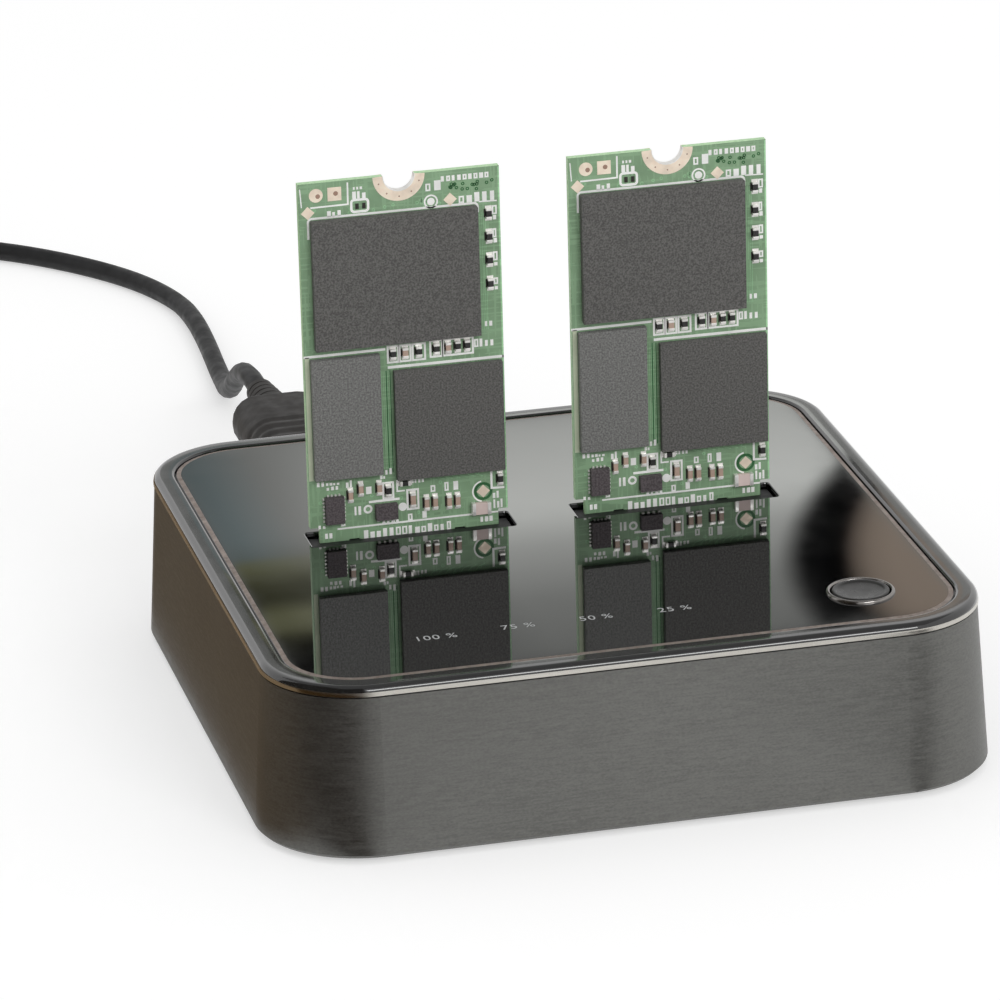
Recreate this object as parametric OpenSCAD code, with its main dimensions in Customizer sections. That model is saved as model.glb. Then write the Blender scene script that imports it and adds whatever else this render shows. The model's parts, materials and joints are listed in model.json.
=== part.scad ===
// Desktop dock with two upright slots for bare card drives, its two drives and its USB cable.
// Millimetres. Origin at the centre of the footprint, +Z up, +Y towards the ports at the back.

/* [Case] */
// Width of the case across the top of its walls
case_w = 77; // [74:0.5:84]
// Depth of the case across the top of its walls
case_d = 77; // [74:0.5:84]
// Height of the rim above the table
case_h = 19.3; // [18.8:0.1:22]
// Radius of the upright corners at the top of the walls
corner_r = 10.4; // [10:0.1:12]
// How far each wall leans outwards at its foot
draft = 1.1; // [0.2:0.1:1.4]
// Thickness of the walls
wall = 1.5; // [1.3:0.1:1.7]
// Small chamfer along the foot of the walls
base_chamfer = 0.4; // [0.2:0.1:0.8]

/* [Rim and plate] */
// Width of the rim seen from above
rim_w = 2.4; // [2.2:0.1:2.8]
// Height of the rim above the walls
rim_h = 1.3; // [1.1:0.1:1.6]
// How far the rim stands out past the walls
rim_lip = 0.1; // [0.05:0.05:0.4]
// Chamfer round the outside of the rim
rim_chamfer = 0.7; // [0.4:0.05:0.9]
// Bevel round the inside of the rim
rim_bevel = 0.4; // [0.15:0.05:0.5]
// How far the plate lies below the top of the rim
plate_drop = 0.15; // [0.1:0.05:0.4]
// Bevel round the top edge of the plate
plate_bevel = 0.4; // [0.1:0.05:0.5]
// Thickness of the top plate
plate_t = 1.2; // [0.8:0.1:1.4]
// Gap between the plate and the rim
plate_fit = 0.1; // [0.05:0.05:0.2]
// Width of the ledge under the edge of the plate
ledge_w = 1.6; // [1:0.1:1.8]
// Thickness of that ledge
ledge_t = 1; // [0.8:0.1:1.2]
// Thickness of the adhesive ring on the ledge
gasket_t = 0.2; // [0.1:0.05:0.3]
// Depth of the rim's skirt inside the walls
skirt_h = 1.6; // [1.2:0.1:1.7]
// Thickness of the skirt
skirt_t = 1.2; // [0.8:0.1:1.5]
// Gap between the skirt and the walls
skirt_fit = 0.15; // [0.1:0.05:0.3]

/* [Slots and sockets] */
// Distance between the two slots, centre to centre
slot_pitch = 29.6; // [27:0.1:32]
// Length of each slot
slot_w = 22.6; // [22.5:0.1:23.4]
// Depth of each slot from front to back
slot_d = 4.6; // [4.4:0.1:5.4]
// Distance of the slots behind the centre of the plate
slot_y = 4.9; // [2:0.1:8]
// Gap between a slot and its socket
socket_fit = 0.2; // [0.1:0.05:0.3]
// Height of a socket above the main board
socket_h = 8.8; // [8:0.1:9]
// How far the top of a socket lies below the plate's surface
socket_drop = 0.65; // [0.45:0.05:0.9]
// Width that the foot of a socket adds on each side
socket_foot = 1; // [0.5:0.1:1.5]
// Height of the foot of a socket
socket_foot_h = 3; // [2:0.1:4]

/* [Drives] */
// Width of a drive's board
card_w = 22; // [21.8:0.1:22.2]
// Length of a drive's board
card_len = 42; // [30:1:60]
// Thickness of a drive's board
card_t = 0.8; // [0.7:0.05:1]
// Width of the tongue at the foot of the board
tongue_w = 19.85; // [19:0.05:20.5]
// Length of the tongue
tongue_len = 3; // [2.8:0.1:3.6]
// How far the tongue goes into its socket
card_insert = 1.25; // [1.1:0.05:1.6]
// Gap round the tongue in its socket
card_fit = 0.1; // [0.05:0.05:0.15]
// Distance of the board's front face in front of the middle of its slot, negative when behind it
card_front = -0.5; // [-0.8:0.1:0.4]
// Width of the two key notches in the tongue
key_w = 1.2; // [1:0.1:1.4]
// Height of the key notches
key_h = 2.4; // [2.2:0.1:2.7]
// Distance of the left key notch from the middle of the tongue
key_left = 6.125; // [5.5:0.125:6.5]
// Distance of the right key notch from the middle of the tongue
key_right = 5.625; // [5.5:0.125:6.5]
// Radius of the half-round fixing notch in the top edge
fixing_r = 1.75; // [1.5:0.05:2]
// Height of the large memory chip above its board
flash_t = 1.2; // [0.9:0.1:1.4]
// Height of the controller and of the small memory chip
chip_t = 1; // [0.7:0.1:1.2]
// Height of the small parts above their board
part_t = 0.45; // [0.3:0.05:0.6]

/* [Chips on the drives] */
// Width of the large memory chip
flash_w = 18.2; // [16:0.1:18.4]
// Height of the large memory chip on the board
flash_h = 14.6; // [12:0.05:14.7]
// Distance of the large memory chip from the board's left edge
flash_left = 1.1; // [0.8:0.1:1.4]
// Distance of the large memory chip from the board's top edge
flash_down = 4; // [3.85:0.05:4.25]
// Width of the controller
controller_w = 12; // [10:0.1:12]
// Height of the controller on the board
controller_h = 12.5; // [10:0.1:12.6]
// Distance of the controller from the board's left edge
controller_left = 9.6; // [9:0.1:9.8]
// Distance of the controller from the board's top edge
controller_down = 21.75; // [20.8:0.05:21.85]
// Width of the small memory chip
memory_w = 7.55; // [6:0.05:8]
// Height of the small memory chip on the board
memory_h = 13.9; // [11:0.05:14.1]
// Distance of the small memory chip from the board's left edge
memory_left = 0.55; // [0.4:0.05:1]
// Distance of the small memory chip from the board's top edge
memory_down = 19.45; // [19.1:0.05:20]

/* [Round button] */
// Distance of the button's centre from the right wall
button_in_x = 12.2; // [11.5:0.1:14]
// Distance of the button's centre from the front wall
button_in_y = 10.9; // [10.6:0.1:13]
// Diameter of the button's cap
button_d = 5.9; // [5:0.1:6.2]
// Outer diameter of the bright ring
ring_d = 7.3; // [7.2:0.1:8]
// Gap between the cap and the ring
button_fit = 0.15; // [0.1:0.05:0.25]
// Thickness of the ring's sleeve in the plate
ring_t = 0.35; // [0.25:0.05:0.4]
// Height of the ring and the cap above the plate
ring_proud = 0.3; // [0.15:0.05:0.5]
// Travel of the button
button_travel = 0.4; // [0.2:0.1:0.6]
// Depth of the dish in the cap
dish = 0.35; // [0.1:0.05:0.5]
// Side of the switch under the button
switch_w = 6; // [5:0.1:6.2]
// Height of the switch's body
switch_h = 3.4; // [3:0.1:4]

/* [Ports at the back] */
// Distance of the USB port from the left wall
usb_in_x = 21.5; // [20:0.5:22]
// Width of the USB port's shell
usb_w = 8.94; // [8.8:0.02:9.1]
// Height of the USB port's shell
usb_h = 3.16; // [3:0.02:3.3]
// Length of the USB port's shell
usb_len = 7.35; // [7:0.05:8]
// Thickness of the USB port's shell
usb_wall = 0.3; // [0.2:0.05:0.35]
// How far the ports lie inside the top line of the back wall
port_recess = 0.6; // [0.3:0.1:1]
// Gap round the ports in the wall
port_fit = 0.25; // [0.15:0.05:0.4]
// Place of the power jack, from the middle of the case
jack_x = 0; // [-3:0.5:3]
// Width of the power jack
jack_w = 7; // [6:0.1:9]
// Height of the power jack
jack_h = 5.2; // [4.8:0.1:5.4]
// Length of the power jack's block
jack_len = 10; // [9:0.1:12]
// Length of the power jack's round collar in the wall
collar_len = 2.6; // [2.2:0.1:3]
// Bore of the power jack
jack_bore = 3.7; // [3.5:0.1:4]
// Diameter of the pin in the power jack
jack_pin = 1.3; // [1:0.1:1.6]
// Distance of the power button from the right wall
power_in_x = 16.5; // [14:0.5:18]
// Diameter of the power button
power_d = 4.2; // [3.6:0.1:4.3]
// Travel of the power button
power_travel = 0.8; // [0.4:0.1:1]
// How far the power button stands out of the wall at rest
power_proud = 0.45; // [0.3:0.05:0.5]

/* [Inside and underneath] */
// Thickness of the main board
board_t = 1.6; // [1.2:0.1:1.8]
// Gap between the main board and the walls
board_gap = 1.7; // [1.3:0.1:2]
// Thickness of the bottom cover
cover_t = 2; // [1.6:0.1:2.4]
// Gap between the bottom cover and the walls
cover_fit = 0.2; // [0.1:0.05:0.3]
// Thickness of the screw pads on the cover
pad_t = 1.4; // [1.2:0.1:1.8]
// Diameter of the rubber feet
foot_d = 8; // [7:0.1:9]
// How far the feet stand out below the case
foot_proud = 0.6; // [0.4:0.1:1]
// How deep the feet sit in the cover
foot_sink = 0.8; // [0.5:0.1:1]
// Distance of the feet and case screws from the side walls
boss_in_x = 6.7; // [6.6:0.1:7]
// Distance of the feet and case screws from the front and back walls
boss_in_y = 16.5; // [16:0.1:18]
// Diameter of the screw bosses in the case
boss_d = 6.2; // [5.6:0.1:6.4]
// Height of the screw bosses
boss_h = 9.5; // [9:0.1:10.5]
// Diameter of the case screws
screw_d = 2.5; // [2:0.1:2.8]
// Length of the case screws under the head
screw_len = 8; // [6:0.5:9]
// Diameter of the case screws' heads
head_d = 4.4; // [4:0.1:4.8]
// Height of the case screws' heads
head_h = 1.4; // [1:0.1:1.6]
// Diameter of the board screws
board_screw_d = 2; // [1.6:0.1:2.2]
// Length of the board screws under the head
board_screw_len = 5; // [4:0.5:5]
// Diameter of the board posts
post_d = 4.6; // [4:0.1:5]
// Distance of the front board posts from the middle of the case
front_post_x = 18.5; // [17:0.5:19]
// Distance of the rear board posts from the middle of the case
rear_post_x = 9; // [8.5:0.25:9.5]
// Distance of the board posts from the front and back walls
post_in_y = 7.5; // [7:0.1:8]
// Distance between the percentage lights
light_pitch = 8.5; // [7.5:0.1:8.7]
// Place of the middle of the lights, from the middle of the case
light_x = -6.4; // [-8:0.1:-6]
// Distance of the lights from the front wall
light_in_y = 12.4; // [12.2:0.1:14]
// Width of a light
led_w = 1.6; // [1.2:0.1:2]
// Diameter of a column of the light guide
guide_d = 3; // [2:0.1:3.4]

/* [Cable] */
// Diameter of the cable
cord_d = 2.4; // [2.2:0.1:2.6]
// Radius of the coil at the middle of its turns
coil_r = 14; // [13.8:0.1:14.4]
// Whole turns in the coil, both layers together
coil_loops = 9; // [7:1:9]
// Free gap between two turns
coil_gap = 0.5; // [0.5:0.05:0.6]
// Thickness of the band round the coil
tie_t = 0.5; // [0.4:0.1:0.6]
// Width of the band
tie_w = 5; // [4:0.5:6]

/* [Hidden] */

case_grey = [0.36, 0.36, 0.35];
rim_grey = [0.2, 0.2, 0.2];
plate_black = [0.08, 0.09, 0.1];
chrome = [0.8, 0.8, 0.82];
rubber_black = [0.1, 0.1, 0.1];
steel = [0.62, 0.63, 0.65];
board_green = [0.2, 0.45, 0.28];
chip_grey = [0.24, 0.24, 0.24];
plastic_black = [0.12, 0.12, 0.13];
clear_white = [0.9, 0.92, 0.95];

$fn = 48;
slack = 0.1;

// Length of the cuts through the back wall, more than the wall at its foot
wall_cut = 3 * (wall + draft);

// Centres of the corner arcs, shared by every ring and plate
mid_x = case_w / 2 - corner_r;
mid_y = case_d / 2 - corner_r;

// Heights, from the table up
z_case = foot_proud;
z_cover = z_case + cover_t;
z_pad = z_cover + pad_t;
z_wall = case_h - rim_h;
z_plate = case_h - plate_drop;
z_under = z_plate - plate_t;
z_ledge = z_under - gasket_t;
z_socket = z_plate - socket_drop;
z_board = z_socket - socket_h;
z_card = z_socket - card_insert;

// Radii from the corner centres
plate_r = corner_r - rim_w;
skirt_r = corner_r - wall - skirt_fit;
inner_r = corner_r - wall;
board_r = inner_r - board_gap;

// Places that several pieces share
boss_x = case_w / 2 - boss_in_x;
boss_y = case_d / 2 - boss_in_y;
post_y = case_d / 2 - post_in_y;
button_x = case_w / 2 - button_in_x;
button_y = -case_d / 2 + button_in_y;
light_y = -case_d / 2 + light_in_y;
usb_x = -case_w / 2 + usb_in_x;
power_x = case_w / 2 - power_in_x;
port_y = case_d / 2 - port_recess;
jack_back_y = port_y - collar_len - jack_len;
wall_in_y = case_d / 2 - wall;
usb_z = z_board + usb_h / 2;
jack_z = z_board + jack_h / 2;
power_z = z_board + (power_d + 2 * port_fit) / 2 + 0.55;
card_y = slot_y - card_front;
card_mid_y = card_y + card_t / 2;

// Profile swept round a rounded rectangle: x is the distance from the corner centres, y the height
module round_loop() {
    for (side = [0, 1]) mirror([side, 0, 0]) {
        translate([mid_x, mid_y, 0]) rotate_extrude(angle = 90) children();
        translate([mid_x, -mid_y, 0]) rotate([0, 0, -90]) rotate_extrude(angle = 90) children();
        translate([mid_x, mid_y, 0]) rotate([90, 0, 0]) linear_extrude(2 * mid_y) children();
    }
    for (side = [0, 1]) mirror([0, side, 0])
        translate([-mid_x, mid_y, 0]) rotate([90, 0, 90]) linear_extrude(2 * mid_x) children();
}

// Flat rounded rectangle whose edge lies r outside the corner centres
module round_outline(r) {
    square([2 * mid_x, 2 * (mid_y + r)], center = true);
    square([2 * (mid_x + r), 2 * mid_y], center = true);
    for (sx = [-1, 1], sy = [-1, 1]) translate([sx * mid_x, sy * mid_y]) circle(r);
}

// Copies at the four case screws
module at_bosses() {
    for (sx = [-1, 1], sy = [-1, 1]) translate([sx * boss_x, sy * boss_y, 0]) children();
}

// Copies at the four board posts
module at_posts() {
    for (sx = [-1, 1]) {
        translate([sx * front_post_x, -post_y, 0]) children();
        translate([sx * rear_post_x, post_y, 0]) children();
    }
}

// Round-ended bar through the back wall, w wide and h high, centred on its axis
module port_slot(w, h, len) {
    rotate([90, 0, 0]) linear_extrude(len, center = true) {
        square([w - h, h], center = true);
        for (s = [-1, 1]) translate([s * (w - h) / 2, 0]) circle(d = h);
    }
}

// Case walls with their screw bosses
module housing_shell() {
    boss_rib = 2;
    rib_sink = 0.4;
    color(case_grey) difference() {
        union() {
            round_loop() polygon([
                [inner_r, z_case], [corner_r + draft - base_chamfer, z_case],
                [corner_r + draft, z_case + base_chamfer], [corner_r, z_wall], [inner_r, z_wall]
            ]);
            at_bosses() translate([0, 0, z_pad]) cylinder(d = boss_d, h = boss_h);
            for (sx = [0, 1], sy = [-1, 1]) mirror([sx, 0, 0])
                translate([boss_x, sy * boss_y - boss_rib / 2, z_pad])
                    cube([case_w / 2 - wall + rib_sink - boss_x, boss_rib, boss_h]);
        }
        at_bosses() translate([0, 0, z_pad - slack]) cylinder(d = screw_d + slack, h = screw_len);
        translate([usb_x, wall_in_y, usb_z]) port_slot(usb_w + 2 * port_fit, usb_h + 2 * port_fit, wall_cut);
        translate([jack_x, wall_in_y, jack_z]) rotate([90, 0, 0])
            cylinder(d = jack_h + 2 * port_fit, h = wall_cut, center = true);
        translate([power_x, wall_in_y, power_z]) rotate([90, 0, 0])
            cylinder(d = power_d + 2 * port_fit, h = wall_cut, center = true);
    }
}

// Raised rim with the ledge for the plate and the skirt inside the walls
module top_frame() {
    edge_r = corner_r + rim_lip;
    mouth_r = plate_r + plate_fit;
    ledge_r = plate_r - ledge_w;
    color(rim_grey) round_loop() polygon([
        [edge_r, z_wall], [edge_r, case_h - rim_chamfer], [edge_r - rim_chamfer, case_h],
        [mouth_r + rim_bevel, case_h], [mouth_r, case_h - rim_bevel], [mouth_r, z_ledge],
        [ledge_r, z_ledge], [ledge_r, z_ledge - ledge_t], [skirt_r - skirt_t, z_ledge - ledge_t],
        [skirt_r - skirt_t, z_wall - skirt_h], [skirt_r, z_wall - skirt_h], [skirt_r, z_wall]
    ]);
}

// Glossy plate with the two slots and the button hole
module top_plate() {
    color(plate_black) difference() {
        union() {
            translate([0, 0, z_under]) linear_extrude(plate_t) round_outline(plate_r - plate_bevel);
            round_loop() polygon([
                [plate_r - 2 * plate_bevel, z_under], [plate_r, z_under], [plate_r, z_plate - plate_bevel],
                [plate_r - plate_bevel, z_plate], [plate_r - 2 * plate_bevel, z_plate]
            ]);
        }
        for (s = [-1, 1]) translate([s * slot_pitch / 2, slot_y, z_plate])
            cube([slot_w, slot_d, 3 * plate_t], center = true);
        translate([button_x, button_y, z_under - plate_t])
            cylinder(d = button_d + 2 * (button_fit + ring_t) + slack, h = 3 * plate_t);
    }
}

// Thin adhesive ring between the ledge and the plate
module plate_gasket() {
    color("white") round_loop()
        translate([plate_r - ledge_w + slack, z_ledge]) square([ledge_w - 2 * slack, gasket_t]);
}

// Bottom cover with screw pads and board posts
module bottom_cover() {
    pad_d = boss_d + 0.6;
    color(plastic_black) difference() {
        union() {
            translate([0, 0, z_case]) linear_extrude(cover_t) round_outline(inner_r - cover_fit);
            at_bosses() translate([0, 0, z_cover - slack]) cylinder(d = pad_d, h = pad_t + slack);
            at_posts() translate([0, 0, z_cover - slack])
                cylinder(d = post_d, h = z_board - board_t - z_cover + slack);
        }
        at_bosses() {
            translate([0, 0, z_case - slack]) cylinder(d = foot_d + 2 * slack, h = foot_sink + slack);
            translate([0, 0, z_case]) cylinder(d = head_d + 2 * slack, h = foot_sink + head_h + slack);
            translate([0, 0, z_case]) cylinder(d = screw_d + 4 * slack, h = cover_t + pad_t + slack);
        }
        at_posts() translate([0, 0, z_board - board_screw_len])
            cylinder(d = board_screw_d + slack, h = board_screw_len);
    }
}

// Four round feet under the case screws
module rubber_feet() {
    color(rubber_black) at_bosses() cylinder(d = foot_d, h = foot_proud + foot_sink);
}

// Four case screws, head down, with a cross recess
module case_screws() {
    z_seat = z_case + foot_sink + head_h + slack;
    cross_w = 0.7;
    cross_len = 2.6;
    color(steel) at_bosses() {
        difference() {
            translate([0, 0, z_seat - head_h]) cylinder(d = head_d, h = head_h);
            for (turn = [0, 90]) rotate([0, 0, turn]) translate([0, 0, z_seat - head_h])
                cube([cross_len, cross_w, head_h], center = true);
        }
        translate([0, 0, z_seat]) cylinder(d = screw_d, h = screw_len);
    }
}

// Main circuit board, open at the bosses
module main_board() {
    gap = 0.5;
    notch_w = boss_d + 2 * gap;
    notch_len = board_r + mid_x - boss_x + notch_w / 2 + 1;
    color(board_green) translate([0, 0, z_board - board_t]) linear_extrude(board_t) difference() {
        round_outline(board_r);
        for (side = [0, 1], sy = [-1, 1]) mirror([side, 0])
            translate([boss_x - notch_w / 2, sy * boss_y - notch_w / 2]) square([notch_len, notch_w]);
        at_posts() circle(d = board_screw_d + 2 * slack);
    }
}

// Four screws that hold the main board on its posts
module board_screws() {
    board_head_d = 3.6;
    board_head_h = 1;
    cross_w = 0.5;
    cross_len = 2.2;
    color(steel) at_posts() {
        difference() {
            translate([0, 0, z_board]) cylinder(d = board_head_d, h = board_head_h);
            for (turn = [0, 90]) rotate([0, 0, turn]) translate([0, 0, z_board + board_head_h])
                cube([cross_len, cross_w, board_head_h], center = true);
        }
        translate([0, 0, z_board - board_screw_len + slack]) cylinder(d = board_screw_d, h = board_screw_len);
    }
}

// Card socket on the main board, standing up into its slot
module socket(x) {
    tower_w = slot_w - 2 * socket_fit;
    tower_d = slot_d - 4 * socket_fit;
    mouth_w = tongue_w + 2 * card_fit;
    mouth_d = card_t + 2 * card_fit;
    mouth_h = card_insert + card_fit;
    translate([x, 0, 0]) {
        difference() {
            union() {
                translate([-tower_w / 2, slot_y - tower_d / 2, z_board]) cube([tower_w, tower_d, socket_h]);
                translate([-tower_w / 2 - socket_foot, slot_y - tower_d / 2 - socket_foot, z_board])
                    cube([tower_w + 2 * socket_foot, tower_d + 2 * socket_foot, socket_foot_h]);
            }
            translate([-mouth_w / 2, card_mid_y - mouth_d / 2, z_socket - mouth_h])
                cube([mouth_w, mouth_d, mouth_h + 1]);
        }
        for (key = [-key_left, key_right])
            translate([key - key_w / 2 + card_fit, card_mid_y - mouth_d / 2, z_socket - mouth_h])
                cube([key_w - 2 * card_fit, mouth_d, mouth_h]);
    }
}

module socket_left() {
    color(plastic_black) socket(-slot_pitch / 2);
}

module socket_right() {
    color(plastic_black) socket(slot_pitch / 2);
}

// Sizes of the parts on the main board and the places of their centres
bridge_size = [9, 9, 0.9];
bridge_at = [-14, 18];
clone_size = [7, 7, 1.2];
clone_at = [13, 15];
crystal_size = [3.2, 2.5, 0.8];
crystal_at = [-22, 14];
filter_x = [-4, 3];
filter_gap = 1.65;
can_d = 5;
can_h = 5.4;
can_base = [5.3, 5.3, 0.6];
can_y = jack_back_y - filter_gap - can_base[1] / 2;
inductor_size = [5, 5, 2.8];
inductor_y = can_y - can_base[1] / 2 - filter_gap - inductor_size[1] / 2;

// Flat part on the main board, centred on a place
module board_chip(at, size) {
    translate([at[0] - size[0] / 2, at[1] - size[1] / 2, z_board]) cube(size);
}

module bridge_chip() {
    color(chip_grey) board_chip(bridge_at, bridge_size);
}

module clone_chip() {
    color(chip_grey) board_chip(clone_at, clone_size);
}

module crystal() {
    color(steel) board_chip(crystal_at, crystal_size);
}

module inductors() {
    color(chip_grey) for (x = filter_x) board_chip([x, inductor_y], inductor_size);
}

// Two cans on their square bases
module capacitors() {
    color(steel) for (x = filter_x) {
        translate([x, can_y, z_board + can_base[2]]) cylinder(d = can_d, h = can_h - can_base[2]);
        board_chip([x, can_y], can_base);
    }
}

// USB port: a flat round-ended shell with a tongue inside
module usb_port() {
    cavity_len = 6.3;
    tongue = [6.6, 4.5, 0.7];
    color(steel) translate([usb_x, port_y, usb_z]) {
        difference() {
            translate([0, -usb_len / 2, 0]) port_slot(usb_w, usb_h, usb_len);
            port_slot(usb_w - 2 * usb_wall, usb_h - 2 * usb_wall, 2 * cavity_len);
        }
        translate([-tongue[0] / 2, -cavity_len - slack, -tongue[2] / 2]) cube(tongue + [0, slack, 0]);
    }
}

// Power jack: a block with a round collar through the wall and a pin in its bore
module power_jack() {
    bore_len = 9;
    pin_back = 0.8;
    color(plastic_black) translate([jack_x, port_y, jack_z]) {
        difference() {
            union() {
                translate([-jack_w / 2, -collar_len - jack_len, -jack_h / 2])
                    cube([jack_w, jack_len, jack_h]);
                rotate([90, 0, 0]) cylinder(d = jack_h, h = collar_len + slack);
            }
            translate([0, slack, 0]) rotate([90, 0, 0]) cylinder(d = jack_bore, h = bore_len + slack);
        }
        translate([0, -pin_back, 0]) rotate([90, 0, 0]) cylinder(d = jack_pin, h = bore_len);
    }
}

// Places of the four percentage lights along the front
function light_place(i) = light_x + (i - 1.5) * light_pitch;

module progress_leds() {
    led_d = 0.8;
    led_h = 0.6;
    color(clear_white) for (i = [0:3]) board_chip([light_place(i), light_y], [led_w, led_d, led_h]);
}

// Clear guide: four columns on a bar, held up by two legs on the board
module light_guide() {
    bar_t = 1.2;
    leg_w = 1.5;
    led_gap = 1;
    z_top = z_under - slack;
    z_bar = z_top - 2 * bar_t;
    leg_x = 1.5 * light_pitch + guide_d;
    color(clear_white) translate([light_x, light_y - guide_d / 2, 0]) {
        for (i = [0:3]) translate([light_place(i) - light_x, guide_d / 2, z_board + led_gap])
            cylinder(d = guide_d, h = z_top - z_board - led_gap);
        translate([-leg_x - leg_w / 2, 0, z_bar]) cube([2 * leg_x + leg_w, guide_d, bar_t]);
        for (s = [-1, 1]) translate([s * leg_x - leg_w / 2, 0, z_board])
            cube([leg_w, guide_d, z_bar - z_board + slack]);
    }
}

// Heights under the round button
plunger_up = 0.9;
z_switch = z_board + switch_h;
z_plunger = z_switch + plunger_up;
z_cap = z_plate + ring_proud;

// Round cap with its dish, stem and retaining flange
module clone_button() {
    flange_t = 0.8;
    flange_hold = 0.3;
    stem_d = 3;
    z_flange = z_under - slack - flange_t;
    dish_r = (pow(button_d / 2, 2) + pow(dish, 2)) / (2 * dish);
    color(plastic_black) translate([button_x, button_y, 0]) {
        difference() {
            translate([0, 0, z_flange]) cylinder(d = button_d, h = z_cap - z_flange);
            translate([0, 0, z_cap - dish + dish_r]) sphere(dish_r, $fn = 64);
        }
        translate([0, 0, z_flange])
            cylinder(d = button_d + 2 * (button_fit + ring_t + flange_hold), h = flange_t);
        translate([0, 0, z_plunger]) cylinder(d = stem_d, h = z_flange + slack - z_plunger);
    }
}

// Bright ring: a sleeve in the plate's hole under a flat rounded collar
module button_ring() {
    bore_r = button_d / 2 + button_fit;
    round_in = 0.1;
    round_out = 0.25;
    color(chrome) translate([button_x, button_y, 0]) rotate_extrude() polygon([
        [bore_r, z_under], [bore_r + ring_t, z_under], [bore_r + ring_t, z_plate],
        [ring_d / 2, z_plate], [ring_d / 2 - round_in, z_cap - round_in], [ring_d / 2 - round_out, z_cap],
        [bore_r + round_in, z_cap], [bore_r, z_cap - round_in]
    ]);
}

// Press switch on the board, with a well for its plunger
plunger_d = 3.2;
switch_well = 1.5;
module clone_switch() {
    color(plastic_black) difference() {
        board_chip([button_x, button_y], [switch_w, switch_w, switch_h]);
        translate([button_x, button_y, z_switch - switch_well])
            cylinder(d = plunger_d + 2 * slack, h = switch_well + slack);
    }
}

module clone_switch_plunger() {
    z_low = z_switch - switch_well + button_travel + slack;
    color("gray") translate([button_x, button_y, z_low]) cylinder(d = plunger_d, h = z_plunger - z_low);
}

// Power button: cap through the back wall, with a flange inside it, and its switch on the board
power_flange = 1;
flange_rim = 0.4;
plunger_w = 2.4;
plunger_len = 2.2;
power_well = 2;
power_back_y = wall_in_y - slack - power_flange;
switch_front_y = power_back_y - plunger_len;

module power_button() {
    wall_out_y = case_d / 2 + draft * (z_wall - power_z) / (z_wall - z_case - base_chamfer);
    color(plastic_black) translate([power_x, power_back_y, power_z]) rotate([-90, 0, 0]) {
        cylinder(d = power_d + 2 * (port_fit + flange_rim), h = power_flange);
        cylinder(d = power_d, h = wall_out_y + power_proud - power_back_y);
    }
}

module power_switch() {
    body = [7, 6.5, 6];
    well_w = plunger_w + 2 * slack;
    color(plastic_black) difference() {
        translate([power_x - body[0] / 2, switch_front_y - body[1], z_board]) cube(body);
        translate([power_x - well_w / 2, switch_front_y - power_well, power_z - well_w / 2])
            cube([well_w, power_well + slack, well_w]);
    }
}

module power_switch_plunger() {
    y_low = switch_front_y - power_well + power_travel + 2 * slack;
    color("gray") translate([power_x - plunger_w / 2, y_low, power_z - plunger_w / 2])
        cube([plunger_w, power_back_y - y_low, plunger_w]);
}

// Board of a drive: keyed tongue at the foot, half-round notch at the top
module card_board(x) {
    tip = 0.3;
    color(board_green) translate([x, card_y + card_t, z_card]) rotate([90, 0, 0]) linear_extrude(card_t)
        difference() {
            polygon([
                [-tongue_w / 2, tip], [-tongue_w / 2 + tip, 0], [tongue_w / 2 - tip, 0], [tongue_w / 2, tip],
                [tongue_w / 2, tongue_len], [card_w / 2, tongue_len], [card_w / 2, card_len],
                [-card_w / 2, card_len], [-card_w / 2, tongue_len], [-tongue_w / 2, tongue_len]
            ]);
            translate([0, card_len]) circle(fixing_r);
            for (key = [-key_left, key_right]) {
                translate([key - key_w / 2, -1]) square([key_w, key_h + 1 - key_w / 2]);
                translate([key, key_h - key_w / 2]) circle(d = key_w);
            }
        }
}

// Flat part on the front face of a drive: [u from its left edge, v down from its top, width, height]
module on_card(x, place, t) {
    translate([x - card_w / 2 + place[0], card_y - t, z_card + card_len - place[1] - place[3]])
        cube([place[2], t, place[3]]);
}

module card_flash(x) {
    color(chip_grey) on_card(x, [flash_left, flash_down, flash_w, flash_h], flash_t);
}

module card_controller(x) {
    place = [controller_left, controller_down, controller_w, controller_h];
    color(chip_grey) on_card(x, place, chip_t);
}

module card_memory(x) {
    color(chip_grey) on_card(x, [memory_left, memory_down, memory_w, memory_h], chip_t);
}

// Small chips, and the smaller resistors and capacitors, placed as above
small_chip_t = 0.8;
small_chips = [
    [1.6, 35.6, 2.2, 3],
    [7.2, 37.1, 2.35, 1.9],
    [17.9, 37.9, 2.1, 1.4]
];
small_parts = [
    [20.45, 4.5, 0.6, 1.1], [20.45, 7.2, 0.6, 1.1], [20.45, 9.9, 0.6, 1.1], [20.45, 12.65, 0.6, 1.1],
    [6.1, 2.7, 1.1, 0.55],
    [9.7, 19.45, 0.6, 1.1], [11.1, 19.45, 0.6, 1.1], [12.5, 19.45, 0.6, 1.1],
    [14.3, 19.45, 0.6, 1.1], [15.6, 19.45, 0.6, 1.1], [16.9, 19.45, 0.6, 1.1],
    [4.1, 34.75, 0.55, 1.1], [5.5, 34.65, 0.55, 1.1], [7.3, 34.65, 0.55, 1.1], [8.4, 34.75, 0.55, 1.1],
    [10.2, 34.6, 1.1, 0.55], [11.1, 36.4, 0.55, 1.1], [12.5, 36.5, 0.55, 1.1], [13.6, 36.6, 0.55, 1.1],
    [15, 36.6, 0.55, 1.1], [16.2, 36.7, 0.55, 1.1], [20.8, 34.8, 0.6, 1.1]
];

module card_small_parts(x) {
    color(chip_grey) {
        for (place = small_chips) on_card(x, place, small_chip_t);
        for (place = small_parts) on_card(x, place, part_t);
    }
}

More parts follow.
